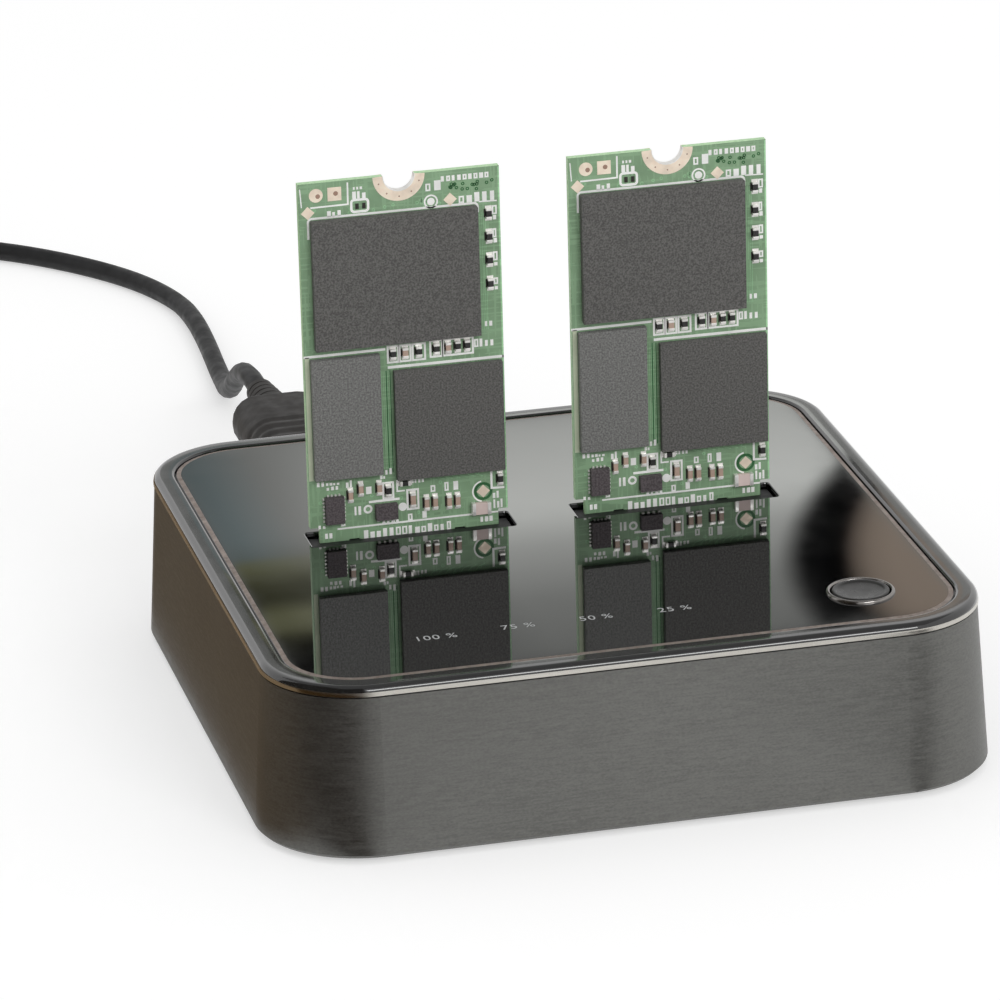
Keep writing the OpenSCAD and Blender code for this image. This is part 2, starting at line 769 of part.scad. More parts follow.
module drive_left_board() card_board(-slot_pitch / 2);
module drive_left_flash() card_flash(-slot_pitch / 2);
module drive_left_controller() card_controller(-slot_pitch / 2);
module drive_left_memory() card_memory(-slot_pitch / 2);
module drive_left_small_parts() card_small_parts(-slot_pitch / 2);
module drive_right_board() card_board(slot_pitch / 2);
module drive_right_flash() card_flash(slot_pitch / 2);
module drive_right_controller() card_controller(slot_pitch / 2);
module drive_right_memory() card_memory(slot_pitch / 2);
module drive_right_small_parts() card_small_parts(slot_pitch / 2);

// USB plug at the dock: metal tip, flat grip and a tapered boot
grip_gap = 0.15;
grip_y = case_d / 2 + draft - grip_gap;
grip_len = 27;
boot_len = 10;
boot_wide = 5;
boot_narrow = cord_d + 0.6;
boot_y = grip_y + grip_len;
boot_end_y = boot_y + boot_len;

module usb_plug_grip() {
    grip_w = 10.8;
    grip_h = 6.3;
    color(plastic_black) translate([usb_x, grip_y + grip_len / 2, usb_z]) port_slot(grip_w, grip_h, grip_len);
}

module usb_plug_tip() {
    tip_len = 6.5;
    tip_floor = 1.5;
    fit = 0.05;
    side_t = 0.6;
    flat_t = 0.7;
    w = usb_w - 2 * usb_wall - 2 * fit;
    h = usb_h - 2 * usb_wall - 2 * fit;
    color(steel) translate([usb_x, grip_y, usb_z]) difference() {
        translate([0, -tip_len / 2, 0]) port_slot(w, h, tip_len);
        translate([0, -tip_len, 0]) port_slot(w - 2 * side_t, h - 2 * flat_t, 2 * (tip_len - tip_floor));
    }
}

module usb_plug_boot() {
    color(plastic_black) translate([usb_x, boot_y, usb_z]) rotate([-90, 0, 0])
        cylinder(d1 = boot_wide, d2 = boot_narrow, h = boot_len);
}

// Tube of a given radius along a list of points, as one closed polyhedron.
// Each ring stands square to the route; sideways is level, so the tube never twists.
function unit(v) = v / norm(v);
function heading(p, i) = unit(p[min(i + 1, len(p) - 1)] - p[max(i - 1, 0)]);
function ring(c, dir, r, sides) =
    let (side = unit(cross(dir, [0, 0, 1])), up = cross(side, dir))
    [for (k = [0:sides - 1]) let (a = 360 * (k + 0.5) / sides) c + r * (cos(a) * side + sin(a) * up)];
function tube_points(p, r, sides) = [for (i = [0:len(p) - 1]) each ring(p[i], heading(p, i), r, sides)];
function tube_faces(n, sides) = concat(
    [for (k = [1:sides - 2]) [0, k, k + 1]],
    [for (k = [1:sides - 2]) [(n - 1) * sides, (n - 1) * sides + k + 1, (n - 1) * sides + k]],
    [for (i = [0:n - 2], k = [0:sides - 1]) each
        let (a = i * sides + k, b = i * sides + (k + 1) % sides)
        [[a, a + sides, b], [b, a + sides, b + sides]]]
);
module tube(p, r, sides) {
    polyhedron(tube_points(p, r, sides), tube_faces(len(p), sides), convexity = 10);
}
function route_length(p, i = 1) = i >= len(p) ? 0 : norm(p[i] - p[i - 1]) + route_length(p, i + 1);

// Height of the cable's middle where it lies on the table, and in the coil's lower layer on its band
cord_z = cord_d / 2;
coil_rest = 0.05;
coil_z = cord_d / 2 + tie_t;
step = cord_d + coil_gap;

// Route of the cable from the plug's boot, over the table to the coil
lead_route = [
    [usb_x, boot_end_y, usb_z], [usb_x, 80.5, usb_z], [-17, 85, 10.6], [-16.8, 89.5, 8.8],
    [-16.5, 94, 6.4], [-16.1, 98.5, 4], [-15.7, 103.5, 2.2], [-15.2, 109, 1.4],
    [-14.8, 115, cord_z], [-14.4, 121, cord_z], [-14.1, 127, cord_z], [-14, 133, cord_z],
    [-14.4, 139, cord_z], [-15.9, 145, cord_z], [-18.3, 150.8, cord_z], [-21.8, 156.6, cord_z],
    [-26.3, 162.3, cord_z], [-31.4, 167.4, cord_z], [-37, 171.6, cord_z], [-42.6, 175.2, cord_z]
];

// Coil: the lower layer spirals in, climbs at the inside in half a turn, and the upper layer spirals out
coil_at = [-67, 170];
coil_start = 47;
coil_stop = 180;
half_turn = 0.5;
coil_end = coil_loops + (coil_stop - coil_start) / 360;
layer_turns = (coil_end - half_turn) / 2;
coil_out = coil_r + layer_turns * step / 2;
coil_in = coil_r - layer_turns * step / 2;
loop_rings = 24;
coil_rings = round(loop_rings * coil_end);
climb_dip = step * half_turn / 4;
function smooth(t) = t * t * (3 - 2 * t);
function climb(t) = min(half_turn, max(0, t - layer_turns));
function coil_radius(t) =
    t <= layer_turns ? coil_out - step * t
    : t <= layer_turns + half_turn ? coil_in - step * climb(t) * (1 - climb(t) / half_turn)
    : coil_in + step * (t - layer_turns - half_turn);
function coil_point(t) = let (a = coil_start + 360 * t) [
    coil_at[0] + coil_radius(t) * cos(a),
    coil_at[1] + coil_radius(t) * sin(a),
    coil_z + step * smooth(climb(t) / half_turn)
];
function coil_dir(t) = let (a = coil_start + 360 * t) [-sin(a), cos(a), 0];
coil_first = coil_point(0);
coil_final = coil_point(coil_end);
stub = cord_d;
coil_route = concat(
    [coil_first - 1.5 * stub * coil_dir(0), coil_first - 0.5 * stub * coil_dir(0)],
    [for (i = [0:coil_rings]) coil_point(i * coil_end / coil_rings)],
    [for (s = [0.5, 1.5]) coil_final + s * stub * coil_dir(coil_end)]
);
coil_last = len(coil_route) - 1;
lead_points = concat(lead_route, [for (s = [7, 3, 0]) coil_route[0] - s * coil_dir(0)]);

// Route of the cable from the coil down to the table and up into the boot of the computer plug
host_grip_h = 7.5;
host_z = host_grip_h / 2;
host_x = -87;
host_boot_y = 123;
host_boot_len = 8;
host_grip_len = 22;
tail_route = [
    [-87.6, 154.5, 3.2], [-87.4, 149, 1.8], [-87.3, 143.5, cord_z], [-87.1, 138, 1.4],
    [-87, 132.5, 2.7], [host_x, 127.5, host_z], [host_x, host_boot_y, host_z]
];
tail_points = concat([for (s = [0, 3, 7]) coil_route[coil_last] + s * coil_dir(coil_end)], tail_route);

// Least gap between turns, from route points at least half a turn apart, and the cable's lengths
least_gap = min([for (i = [0:2:coil_last], j = [i + loop_rings / 2:1:coil_last])
    norm(coil_route[i] - coil_route[j])]) - cord_d;
echo(least_gap = least_gap);
echo(lead = route_length(lead_points), coil = route_length(coil_route), tail = route_length(tail_points));

module cord_lead() {
    color(rubber_black) tube(lead_points, cord_d / 2, 8);
}

module cord_coil() {
    color(rubber_black) tube(coil_route, cord_d / 2, 6);
}

module cord_tail() {
    color(rubber_black) tube(tail_points, cord_d / 2, 8);
}

// Band round the coil's bundle, at its front, with a little room round the cable
module cord_tie() {
    room = 0.3;
    tie_turn = 290;
    inmost = coil_in - climb_dip - cord_d / 2;
    near = sqrt(pow(inmost, 2) - pow(tie_w / 2, 2)) - room;
    far = coil_out + cord_d / 2 + room;
    top = coil_z + step + cord_d / 2 + room;
    color("dimgray") translate([coil_at[0], coil_at[1], 0]) rotate([0, 0, tie_turn]) rotate([90, 0, 0])
        linear_extrude(tie_w, center = true) difference() {
            translate([near - tie_t, 0]) square([far - near + 2 * tie_t, top + tie_t]);
            translate([near, tie_t - coil_rest]) square([far - near, top - tie_t + coil_rest]);
        }
}

// Computer end of the cable: boot, grip, metal shell and the tongue inside it
module host_plug_boot() {
    color(plastic_black) translate([host_x, host_boot_y, host_z]) rotate([90, 0, 0])
        cylinder(d1 = boot_narrow, d2 = boot_wide, h = host_boot_len);
}

module host_plug_grip() {
    grip_w = 15.4;
    edge = 1.5;
    color(plastic_black) translate([host_x, host_boot_y - host_boot_len, host_z]) rotate([90, 0, 0])
        linear_extrude(host_grip_len) {
            square([grip_w - 2 * edge, host_grip_h], center = true);
            square([grip_w, host_grip_h - 2 * edge], center = true);
            for (sx = [-1, 1], sy = [-1, 1])
                translate([sx * (grip_w / 2 - edge), sy * (host_grip_h / 2 - edge)]) circle(edge);
        }
}

host_mouth_y = host_boot_y - host_boot_len - host_grip_len;
shell_w = 12;
shell_h = 4.5;
shell_len = 12;
shell_t = 0.3;
shell_back = 0.5;
module host_plug_shell() {
    latch_w = 2.2;
    latch_x = 2.6;
    latch_y = 7.5;
    color(steel) translate([host_x, host_mouth_y, host_z]) difference() {
        translate([0, -shell_len / 2, 0]) cube([shell_w, shell_len, shell_h], center = true);
        translate([0, -shell_len / 2 - shell_back, 0])
            cube([shell_w - 2 * shell_t, shell_len, shell_h - 2 * shell_t], center = true);
        for (sx = [-1, 1]) translate([sx * latch_x, -latch_y, shell_h / 2])
            cube([latch_w, latch_w, 4 * shell_t], center = true);
    }
}

module host_plug_tongue() {
    tongue_h = 1.9;
    tongue_in = 0.6;
    tongue_x = host_x - shell_w / 2 + shell_t;
    color("white") translate([tongue_x, host_mouth_y - shell_len + tongue_in, host_z - shell_h / 2 + shell_t])
        cube([shell_w - 2 * shell_t, shell_len - tongue_in - shell_back, tongue_h]);
}

housing_shell();
top_frame();
top_plate();
plate_gasket();
bottom_cover();
rubber_feet();
case_screws();
main_board();
board_screws();
socket_left();
socket_right();
bridge_chip();
clone_chip();
crystal();
inductors();
capacitors();
usb_port();
power_jack();
progress_leds();
light_guide();
clone_button();
button_ring();
clone_switch();
clone_switch_plunger();
power_button();
power_switch();
power_switch_plunger();
drive_left_board();
drive_left_flash();
drive_left_controller();
drive_left_memory();
drive_left_small_parts();
drive_right_board();
drive_right_flash();
drive_right_controller();
drive_right_memory();
drive_right_small_parts();
usb_plug_grip();
usb_plug_tip();
usb_plug_boot();
cord_lead();
cord_coil();
cord_tail();
cord_tie();
host_plug_grip();
host_plug_shell();
host_plug_tongue();
host_plug_boot();
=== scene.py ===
"""Looks of the two-slot dock for bare card drives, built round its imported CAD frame, in metres."""

import json
import math
import random

import bmesh
import bpy
from mathutils import Matrix, Vector


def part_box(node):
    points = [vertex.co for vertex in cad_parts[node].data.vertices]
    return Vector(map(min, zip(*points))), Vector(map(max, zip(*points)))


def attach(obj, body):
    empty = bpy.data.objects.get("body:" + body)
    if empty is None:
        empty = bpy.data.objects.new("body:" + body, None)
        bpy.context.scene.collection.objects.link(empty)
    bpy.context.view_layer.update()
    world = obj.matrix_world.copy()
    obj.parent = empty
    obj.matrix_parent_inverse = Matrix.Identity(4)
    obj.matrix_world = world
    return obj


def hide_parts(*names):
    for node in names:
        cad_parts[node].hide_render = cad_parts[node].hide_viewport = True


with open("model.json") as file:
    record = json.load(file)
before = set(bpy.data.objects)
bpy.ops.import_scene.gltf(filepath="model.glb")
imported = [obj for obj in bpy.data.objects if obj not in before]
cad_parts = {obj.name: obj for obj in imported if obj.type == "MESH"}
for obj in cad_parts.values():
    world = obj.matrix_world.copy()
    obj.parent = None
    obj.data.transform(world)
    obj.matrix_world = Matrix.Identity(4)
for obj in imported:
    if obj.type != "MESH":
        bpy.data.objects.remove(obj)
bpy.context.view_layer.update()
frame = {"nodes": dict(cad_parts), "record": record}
cad_nodes = frame["nodes"]

MM = 0.001
plate_low, plate_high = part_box("top_plate")
plate_top = plate_high.z
PLATE_R = 8 * MM
corner_x = plate_high.x - PLATE_R
corner_y = plate_high.y - PLATE_R


def add_object(name, data):
    """Object that shows the data, linked into the scene."""
    thing = bpy.data.objects.new(name, data)
    bpy.context.scene.collection.objects.link(thing)
    return thing


def add_node(tree, kind, inputs, **settings):
    """Outputs of a new node. Each input, by name or place, is a plain value or another output."""
    node = tree.nodes.new("ShaderNode" + kind)
    for setting, value in settings.items():
        setattr(node, setting, value)
    for socket, value in inputs.items():
        if isinstance(value, bpy.types.NodeSocket):
            tree.links.new(value, node.inputs[socket])
        else:
            node.inputs[socket].default_value = value
    return node.outputs


# Camera, light and stage

VIEWPOINT = Vector((-0.15641, -0.63934, 0.26826))
AZIMUTH, ELEVATION, ROLL = (math.radians(angle) for angle in (-13.245, 20.456, -1.541))
SENSOR = 36
LENS = 234
AMBIENT = 0.72
FLOOR_SHADE = (0.62, 0.62, 0.62, 1)
FLOOR_GLOW = 0.5
FLOOR_REACH = 6


def place_camera():
    """Camera at the photograph's viewing angle."""
    data = bpy.data.cameras.new("camera")
    data.sensor_width = SENSOR
    data.lens = LENS
    data.clip_start = 0.01
    data.clip_end = 50
    camera = add_object("camera", data)
    turn = Matrix.Rotation(AZIMUTH, 4, "Z") @ Matrix.Rotation(math.pi / 2 - ELEVATION, 4, "X")
    camera.matrix_world = Matrix.Translation(VIEWPOINT) @ turn @ Matrix.Rotation(ROLL, 4, "Z")
    bpy.context.scene.camera = camera


def seen_directly(tree):
    """1 for camera, glossy and transmission rays, 0 for the rest."""
    rays = add_node(tree, "LightPath", {})
    seen = rays["Is Camera Ray"]
    for ray in ("Is Glossy Ray", "Is Transmission Ray"):
        seen = add_node(tree, "Math", {0: seen, 1: rays[ray]}, operation="MAXIMUM")[0]
    return seen


def light_world():
    """Soft light from all round, with a plain pale background."""
    world = bpy.data.worlds.new("studio")
    bpy.context.scene.world = world
    world.use_nodes = True
    tree = world.node_tree
    light = tree.nodes["Background"]
    light.inputs["Strength"].default_value = AMBIENT
    light.inputs["Color"].default_value = (1, 1, 1, 1)
    pale = add_node(tree, "Background", {"Strength": 1.0})
    mix = add_node(tree, "MixShader", {0: seen_directly(tree), 1: light.outputs[0], 2: pale[0]})
    tree.links.new(mix[0], tree.nodes["World Output"].inputs["Surface"])


def stage_material(name):
    """New material without a shader, and its node tree."""
    material = bpy.data.materials.new(name)
    material.use_nodes = True
    tree = material.node_tree
    tree.nodes.remove(tree.nodes["Principled BSDF"])
    return material, tree


def stage_mesh(name, points, faces, material):
    """Mesh of the studio, not part of the object."""
    mesh = bpy.data.meshes.new(name)
    mesh.from_pydata(points, [], faces)
    mesh.materials.append(material)
    add_object(name, mesh)
    return mesh


def lay_floor():
    """Pale floor that takes the object's shadow and looks white."""
    material, tree = stage_material("floor")
    diffuse = add_node(tree, "BsdfDiffuse", {"Color": FLOOR_SHADE})
    strength = add_node(tree, "Math", {0: seen_directly(tree), 1: FLOOR_GLOW}, operation="MULTIPLY")
    glow = add_node(tree, "Emission", {"Strength": strength[0]})
    both = add_node(tree, "AddShader", {0: diffuse[0], 1: glow[0]})
    tree.links.new(both[0], tree.nodes["Material Output"].inputs["Surface"])
    signs = ((-1, -1), (1, -1), (1, 1), (-1, 1))
    stage_mesh("floor", [(x * FLOOR_REACH, y * FLOOR_REACH, 0) for x, y in signs], [(0, 1, 2, 3)], material)


def soft_light(name, place, width, height, power):
    """Soft rectangular lamp aimed at the middle of the case."""
    data = bpy.data.lights.new(name, "AREA")
    data.shape = "RECTANGLE"
    data.size = width
    data.size_y = height
    data.energy = power
    lamp = add_object(name, data)
    lamp.location = place
    aim = Vector((0, 0, 0.02)) - Vector(place)
    lamp.rotation_mode = "QUATERNION"
    lamp.rotation_quaternion = aim.to_track_quat("-Z", "Y")


def mirrored_only(name):
    """Material that shows in gloss alone, in the colours stored on its mesh."""
    material, tree = stage_material(name)
    material.cycles.emission_sampling = "NONE"
    shade = add_node(tree, "Attribute", {}, attribute_name="shade")
    glow = add_node(tree, "Emission", {"Color": shade["Color"]})
    clear = add_node(tree, "BsdfTransparent", {})
    rays = add_node(tree, "LightPath", {})
    mix = add_node(tree, "MixShader", {0: rays["Is Glossy Ray"], 1: clear[0], 2: glow[0]})
    tree.links.new(mix[0], tree.nodes["Material Output"].inputs["Surface"])
    return material


def shaded_card(name, points, faces, shades):
    """Card that shows in gloss alone, from points, faces and one colour a point."""
    mesh = stage_mesh(name, points, faces, mirrored_only(name))
    layer = mesh.color_attributes.new("shade", "FLOAT_COLOR", "POINT")
    for entry, shade in zip(layer.data, shades):
        entry.color = (*shade, 1)


def plain_card(name, points, shade):
    """Card of one colour through its corners."""
    shaded_card(name, points, [tuple(range(len(points)))], [shade] * len(points))


def level_card(name, low, high, z, shade):
    """Level card between two corners."""
    corners = (low, (high[0], low[1]), high, (low[0], high[1]))
    plain_card(name, [(*corner, z) for corner in corners], shade)


def upright_card(name, start, stop, height, shade):
    """Upright card over a line on the table."""
    plain_card(name, [(*start, 0), (*stop, 0), (*stop, height), (*start, height)], shade)


def wedge_card(name, corner, angles, reach, z, shade):
    """Level wedge that opens from a corner, between two angles from straight forward."""
    turns = [math.radians(angle) for angle in angles]
    far = [(corner[0] + reach * math.sin(a), corner[1] - reach * math.cos(a), z) for a in turns]
    plain_card(name, [(*corner, z)] + far, shade)


def between(stops, at):
    """Value at a place, from rising (place, value) stops."""
    if at <= stops[0][0]:
        return stops[0][1]
    for (low, first), (high, last) in zip(stops, stops[1:]):
        if at <= high:
            return first + (last - first) * (at - low) / (high - low)
    return stops[-1][1]


# The room behind the dock, as a light that grows with depth and fades to the left, in mm of the plate
ROOM_DEPTH = [(-38, 0.36), (-20, 0.47), (-4, 0.82), (6, 1.28), (14, 1.22), (38, 0.9)]
ROOM_WIDTH = [(-34, 0.27), (-27, 0.42), (-8, 1), (6, 1), (26, 1.04)]
PLAIN_TINT = Vector((0.98, 1, 0.96))
# What darkens it at the left: a black object in front, a lit shelf and a dim one, then a bluish wall
LEFT_SHELVES = [(-26, 0), (-23, 0.1), (-19.5, 2.1), (-16, 1.9), (-12, 0.3), (-7, 0.5), (-2, 1)]
SHELF_RIGHT = -22
SHELF_TINT = Vector((0.98, 1, 0.55))
SHELF_FADE = [(-34, 1), (-24, 0.3)]
WALL_TINT = Vector((0.82, 1, 1.02))
WALL_FADE = [(-33, 1), (-27, 0)]
# A dark curved object at the right, with a brown wall past it
BAND_AT = 23.4
BAND_CURVE = 0.0083
BAND_FRONT = -33
BAND_LEFT = [(0, 0), (2.4, 0), (3.3, 0.2), (5.4, 1)]
BAND_RIGHT = [(0, 0), (2.1, 0), (3.2, 0.42), (5, 0.85), (7.5, 1)]
BROWN = Vector((0.55, 0.445, 0.36))
# What the rim mirrors, past the edge of the plate
RIM_AT = 35.6
RIM_FRONT = 0.22
RIM_LEFT = 0.27
RIM_SIDE = 0.45
RIM_PAST_BAND = 0.6
BAND_ON_RIM = 2


def room_shade(x, y):
    """Colour of the room where the plate mirrors it at (x, y), in millimetres."""
    light = between(ROOM_DEPTH, y) * between(ROOM_WIDTH, x)
    tint = PLAIN_TINT
    if x < SHELF_RIGHT:
        light *= between(LEFT_SHELVES, y)
        far, fade = (WALL_TINT, WALL_FADE) if y > 0 else (SHELF_TINT, SHELF_FADE)
        tint = PLAIN_TINT.lerp(far, between(fade, x))
    past = x - BAND_AT - BAND_CURVE * (max(y, BAND_FRONT) - BAND_FRONT) ** 2
    shade = BROWN * between(BAND_RIGHT, past) if past > 0 else tint * light * between(BAND_LEFT, -past)
    if y < -RIM_AT:
        return PLAIN_TINT * RIM_FRONT if past < BAND_ON_RIM else shade * RIM_PAST_BAND
    if abs(x) > RIM_AT or y > RIM_AT:
        return PLAIN_TINT * (RIM_LEFT if x < -RIM_AT else RIM_SIDE)
    return shade


def hang_room():
    """Card behind the dock, where a viewer in front sees it in the plate."""
    card_y = 1.2
    reach = 42
    count = 2 * reach + 1
    image = Vector((VIEWPOINT.x, VIEWPOINT.y, 2 * plate_top - VIEWPOINT.z))
    points, shades, faces = [], [], []
    for row in range(count):
        for column in range(count):
            x, y = column - reach, row - reach
            share = (card_y - VIEWPOINT.y) / (y * MM - VIEWPOINT.y)
            if row and column:
                here = len(points)
                faces.append((here - count - 1, here - count, here, here - 1))
            points.append(image + (Vector((x * MM, y * MM, plate_top)) - image) * share)
            shades.append(room_shade(x, y))
    shaded_card("room_card", points, faces, shades)


def hang_cards():
    """Ceiling, and the dark table and screens that the left and right corners mirror."""
    lift = 0.0003
    level_card("ceiling_card", (-1.2, -1.1), (1.2, 1.2), 1.5, (0.35, 0.35, 0.35))
    level_card("left_front_card", (-0.3, -0.4), (-0.0295, -0.0405), lift, (0.045, 0.024, 0.008))
    level_card("left_card", (-0.3, -0.0405), (-0.0415, 0.3), lift, (0.25, 0.18, 0.11))
    upright_card("left_screen", (-0.13, 0), (-0.13, -0.16), 0.3, (0.06, 0.05, 0.04))
    upright_card("left_front_screen", (-0.13, -0.16), (-0.04, -0.16), 0.3, (0.03, 0.02, 0.015))
    wedge_card("right_front_card", (0.0288, -0.0388), (16, 46), 0.09, lift, (0.05, 0.045, 0.04))


# Finishes

def linear(red, green, blue):
    """A screen colour, 0 to 255, as the linear colour that a shader takes."""
    levels = [channel / 255 for channel in (red, green, blue)]
    return tuple(c / 12.92 if c <= 0.04045 else ((c + 0.055) / 1.055) ** 2.4 for c in levels)


class Finish:
    """A procedural material, and the means to give it colour variation, grain and relief."""

    def __init__(self, name, colour, roughness, metallic=0.0, sockets=None):
        self.name = name
        self.colour = linear(*colour)
        self.material = bpy.data.materials.new(name)
        self.material.use_nodes = True
        self.tree = self.material.node_tree
        self.shader = self.tree.nodes["Principled BSDF"]
        plain = {"Base Color": (*self.colour, 1), "Roughness": roughness, "Metallic": metallic}
        for socket, value in {**plain, **(sockets or {})}.items():
            self.shader.inputs[socket].default_value = value

    def node(self, kind, inputs, **settings):
        return add_node(self.tree, kind, inputs, **settings)

    def feed(self, socket, source):
        self.tree.links.new(source, self.shader.inputs[socket])

    def coords(self, stretch=(1, 1, 1), turn=(0, 0, 0)):
        """Object coordinates, stretched along each axis."""
        place = self.node("TexCoord", {})["Object"]
        return self.node("Mapping", {"Vector": place, "Scale": stretch, "Rotation": turn})["Vector"]

    def noise(self, size, detail, stretch=(1, 1, 1), turn=(0, 0, 0), distortion=0.0):
        """Noise whose blots are about size millimetres across."""
        shape = {"Scale": 1 / (size * MM), "Detail": detail, "Distortion": distortion}
        return self.node("TexNoise", {"Vector": self.coords(stretch, turn), **shape})["Fac"]

    def shades(self, factor, low, high, start=0.3, stop=0.7):
        """Colour that goes from low to high while factor goes from start to stop."""
        ramp = self.tree.nodes.new("ShaderNodeValToRGB")
        for element, place, colour in zip(ramp.color_ramp.elements, (start, stop), (low, high)):
            element.position = place
            element.color = (*colour, 1)
        self.tree.links.new(factor, ramp.inputs["Fac"])
        return ramp.outputs["Color"]

    def vary(self, factor, spread, start=0.3, stop=0.7):
        """Base colour that varies round its own value by the share spread."""
        low, high = ([c * (1 + share) for c in self.colour] for share in (-spread, spread))
        self.feed("Base Color", self.shades(factor, low, high, start, stop))
        return self

    def rough(self, factor, low, high):
        """Roughness that goes from low to high with factor."""
        span = {"From Min": 0.3, "From Max": 0.7, "To Min": low, "To Max": high}
        self.feed("Roughness", self.node("MapRange", {"Value": factor, **span})["Result"])
        return self

    def relief(self, factor, depth, strength):
        """Bump of that depth in millimetres."""
        size = {"Distance": depth * MM, "Strength": strength}
        self.feed("Normal", self.node("Bump", {"Height": factor, **size})["Normal"])
        return self

    def mix(self, factor, low, high):
        """Colour low where factor is 0, high where it is 1."""
        return self.node("Mix", {"Factor": factor, "A": low, "B": high}, data_type="RGBA")["Result"]

    def math(self, operation, *values):
        """Result of a Math node; each value is a number or an output."""
        return self.node("Math", dict(enumerate(values)), operation=operation)[0]

    def facing(self, axis):
        """1 on faces square to an axis, 0 or 1 or 2, and 0 on the rest."""
        normal = self.node("NewGeometry", {})["Normal"]
        size = self.math("ABSOLUTE", self.node("SeparateXYZ", {"Vector": normal})[axis])
        return self.math("GREATER_THAN", size, 0.7)


def brushed_case():
    """Dark metal, brushed along the walls in short fine strokes that run a little out of level."""
    finish = Finish("case_brushed", (112, 112, 109), 0.42, 0.85, {"Anisotropic": 0.4})
    strokes = finish.noise(0.24, 4, stretch=(0.1, 0.1, 1), turn=(0.05, 0.05, 0), distortion=0.3)
    grain = finish.noise(0.16, 2, stretch=(0.5, 0.5, 1))
    patches = finish.noise(9, 1, stretch=(0.5, 0.5, 1))
    fine = finish.math("ADD", finish.math("MULTIPLY", strokes, 0.45), finish.math("MULTIPLY", grain, 0.4))
    both = finish.math("ADD", fine, finish.math("MULTIPLY", patches, 0.15))
    finish.vary(both, 0.17, 0.38, 0.62)
    finish.rough(strokes, 0.36, 0.5)
    return finish.relief(fine, 0.012, 0.5)


def gloss(name, colour, roughness, ior, grain=0.0):
    """Deep gloss under a clear coat."""
    coat = {"Coat Weight": 1.0, "Coat Roughness": 0.02, "Coat IOR": 1.5}
    finish = Finish(name, colour, roughness, 0, {"IOR": ior, **coat})
    finish.vary(finish.noise(12, 2), 0.15)
    finish.rough(finish.noise(4, 4), roughness * 0.8, roughness * 1.5)
    if grain:
        finish.relief(finish.noise(0.4, 2), grain, 0.3)
    return finish


def board_mask(name, colour=(138, 169, 135), axis=1):
    """Solder mask on faces square to an axis, over faint copper runs, with paler glass fibre on the rest."""
    coat = {"Specular IOR Level": 0.2, "Coat Weight": 0.08, "Coat Roughness": 0.2}
    finish = Finish(name, colour, 0.34, 0, coat)
    thin = 0.07
    across = finish.noise(0.32, 1, (thin, thin, 1) if axis == 1 else (thin, 1, 1))
    along = finish.noise(0.32, 1, (1, thin, thin) if axis == 1 else (1, thin, 1))
    ways = [finish.math("GREATER_THAN", way, above) for way, above in ((across, 0.57), (along, 0.58))]
    runs = finish.math("MAXIMUM", *ways)
    dark, light, bright = ([c * share for c in finish.colour] for share in (0.82, 1.08, 1.22))
    ground = finish.shades(finish.noise(4, 3), dark, light)
    face = finish.mix(finish.math("MULTIPLY", runs, 0.6), ground, (*bright, 1))
    fibre = finish.shades(finish.noise(0.3, 3), linear(170, 214, 160), linear(204, 238, 192))
    finish.feed("Base Color", finish.mix(finish.facing(axis), fibre, face))
    return finish.relief(runs, 0.012, 0.4)


def moulded(name, colour, roughness, grain=0.25, depth=0.01):
    """Moulded plastic with a fine spark-eroded grain."""
    finish = Finish(name, colour, roughness)
    finish.vary(finish.noise(3, 4), 0.12)
    finish.rough(finish.noise(1.2, 3), roughness - 0.06, roughness + 0.08)
    return finish.relief(finish.noise(grain, 2), depth, 0.6)


def metal(name, colour, roughness, stretch=(1, 1, 1), metallic=1.0):
    """Metal or metallic paint with fine marks of its making."""
    finish = Finish(name, colour, roughness, metallic)
    finish.vary(finish.noise(1.5, 4, stretch), 0.12)
    finish.rough(finish.noise(0.6, 3, stretch), roughness * 0.7, roughness * 1.4)
    return finish.relief(finish.noise(0.15, 3, stretch), 0.004, 0.4)


def epoxy(name, colour):
    """Matt moulding compound with a sparkling grain."""
    finish = Finish(name, colour, 0.6, 0, {"Specular IOR Level": 0.15})
    grain = finish.noise(0.2, 2)
    finish.vary(grain, 0.3, 0.36, 0.64)
    finish.rough(finish.noise(0.3, 2), 0.5, 0.7)
    return finish.relief(grain, 0.012, 0.4)


def rubbery(name, colour, roughness, grain):
    """Soft plastic, foam or rubber with faint creases."""
    finish = Finish(name, colour, roughness, 0, {"Specular IOR Level": 0.35})
    finish.vary(finish.noise(2.5, 3), 0.2)
    finish.rough(finish.noise(1.5, 2), roughness - 0.08, roughness + 0.1)
    return finish.relief(finish.noise(grain, 3), 0.02, 0.4)


def clear_plastic():
    """Milky clear plastic of the lights and their guide."""
    finish = Finish("light_clear", (232, 236, 240), 0.2, 0, {"Transmission Weight": 0.55, "IOR": 1.49})
    finish.vary(finish.noise(2, 2), 0.03)
    return finish.relief(finish.noise(0.8, 2), 0.01, 0.2)


def woven():
    """Woven band: raised threads across its face."""
    finish = Finish("tie_fabric", (48, 48, 50), 0.85, 0, {"Sheen Weight": 0.3})
    thread = 0.35
    cells = finish.node("TexVoronoi", {"Vector": finish.coords(), "Scale": 1 / (thread * MM)})
    finish.vary(cells["Distance"], 0.35, 0.1, 0.7)
    return finish.relief(cells["Distance"], 0.08, 0.7)


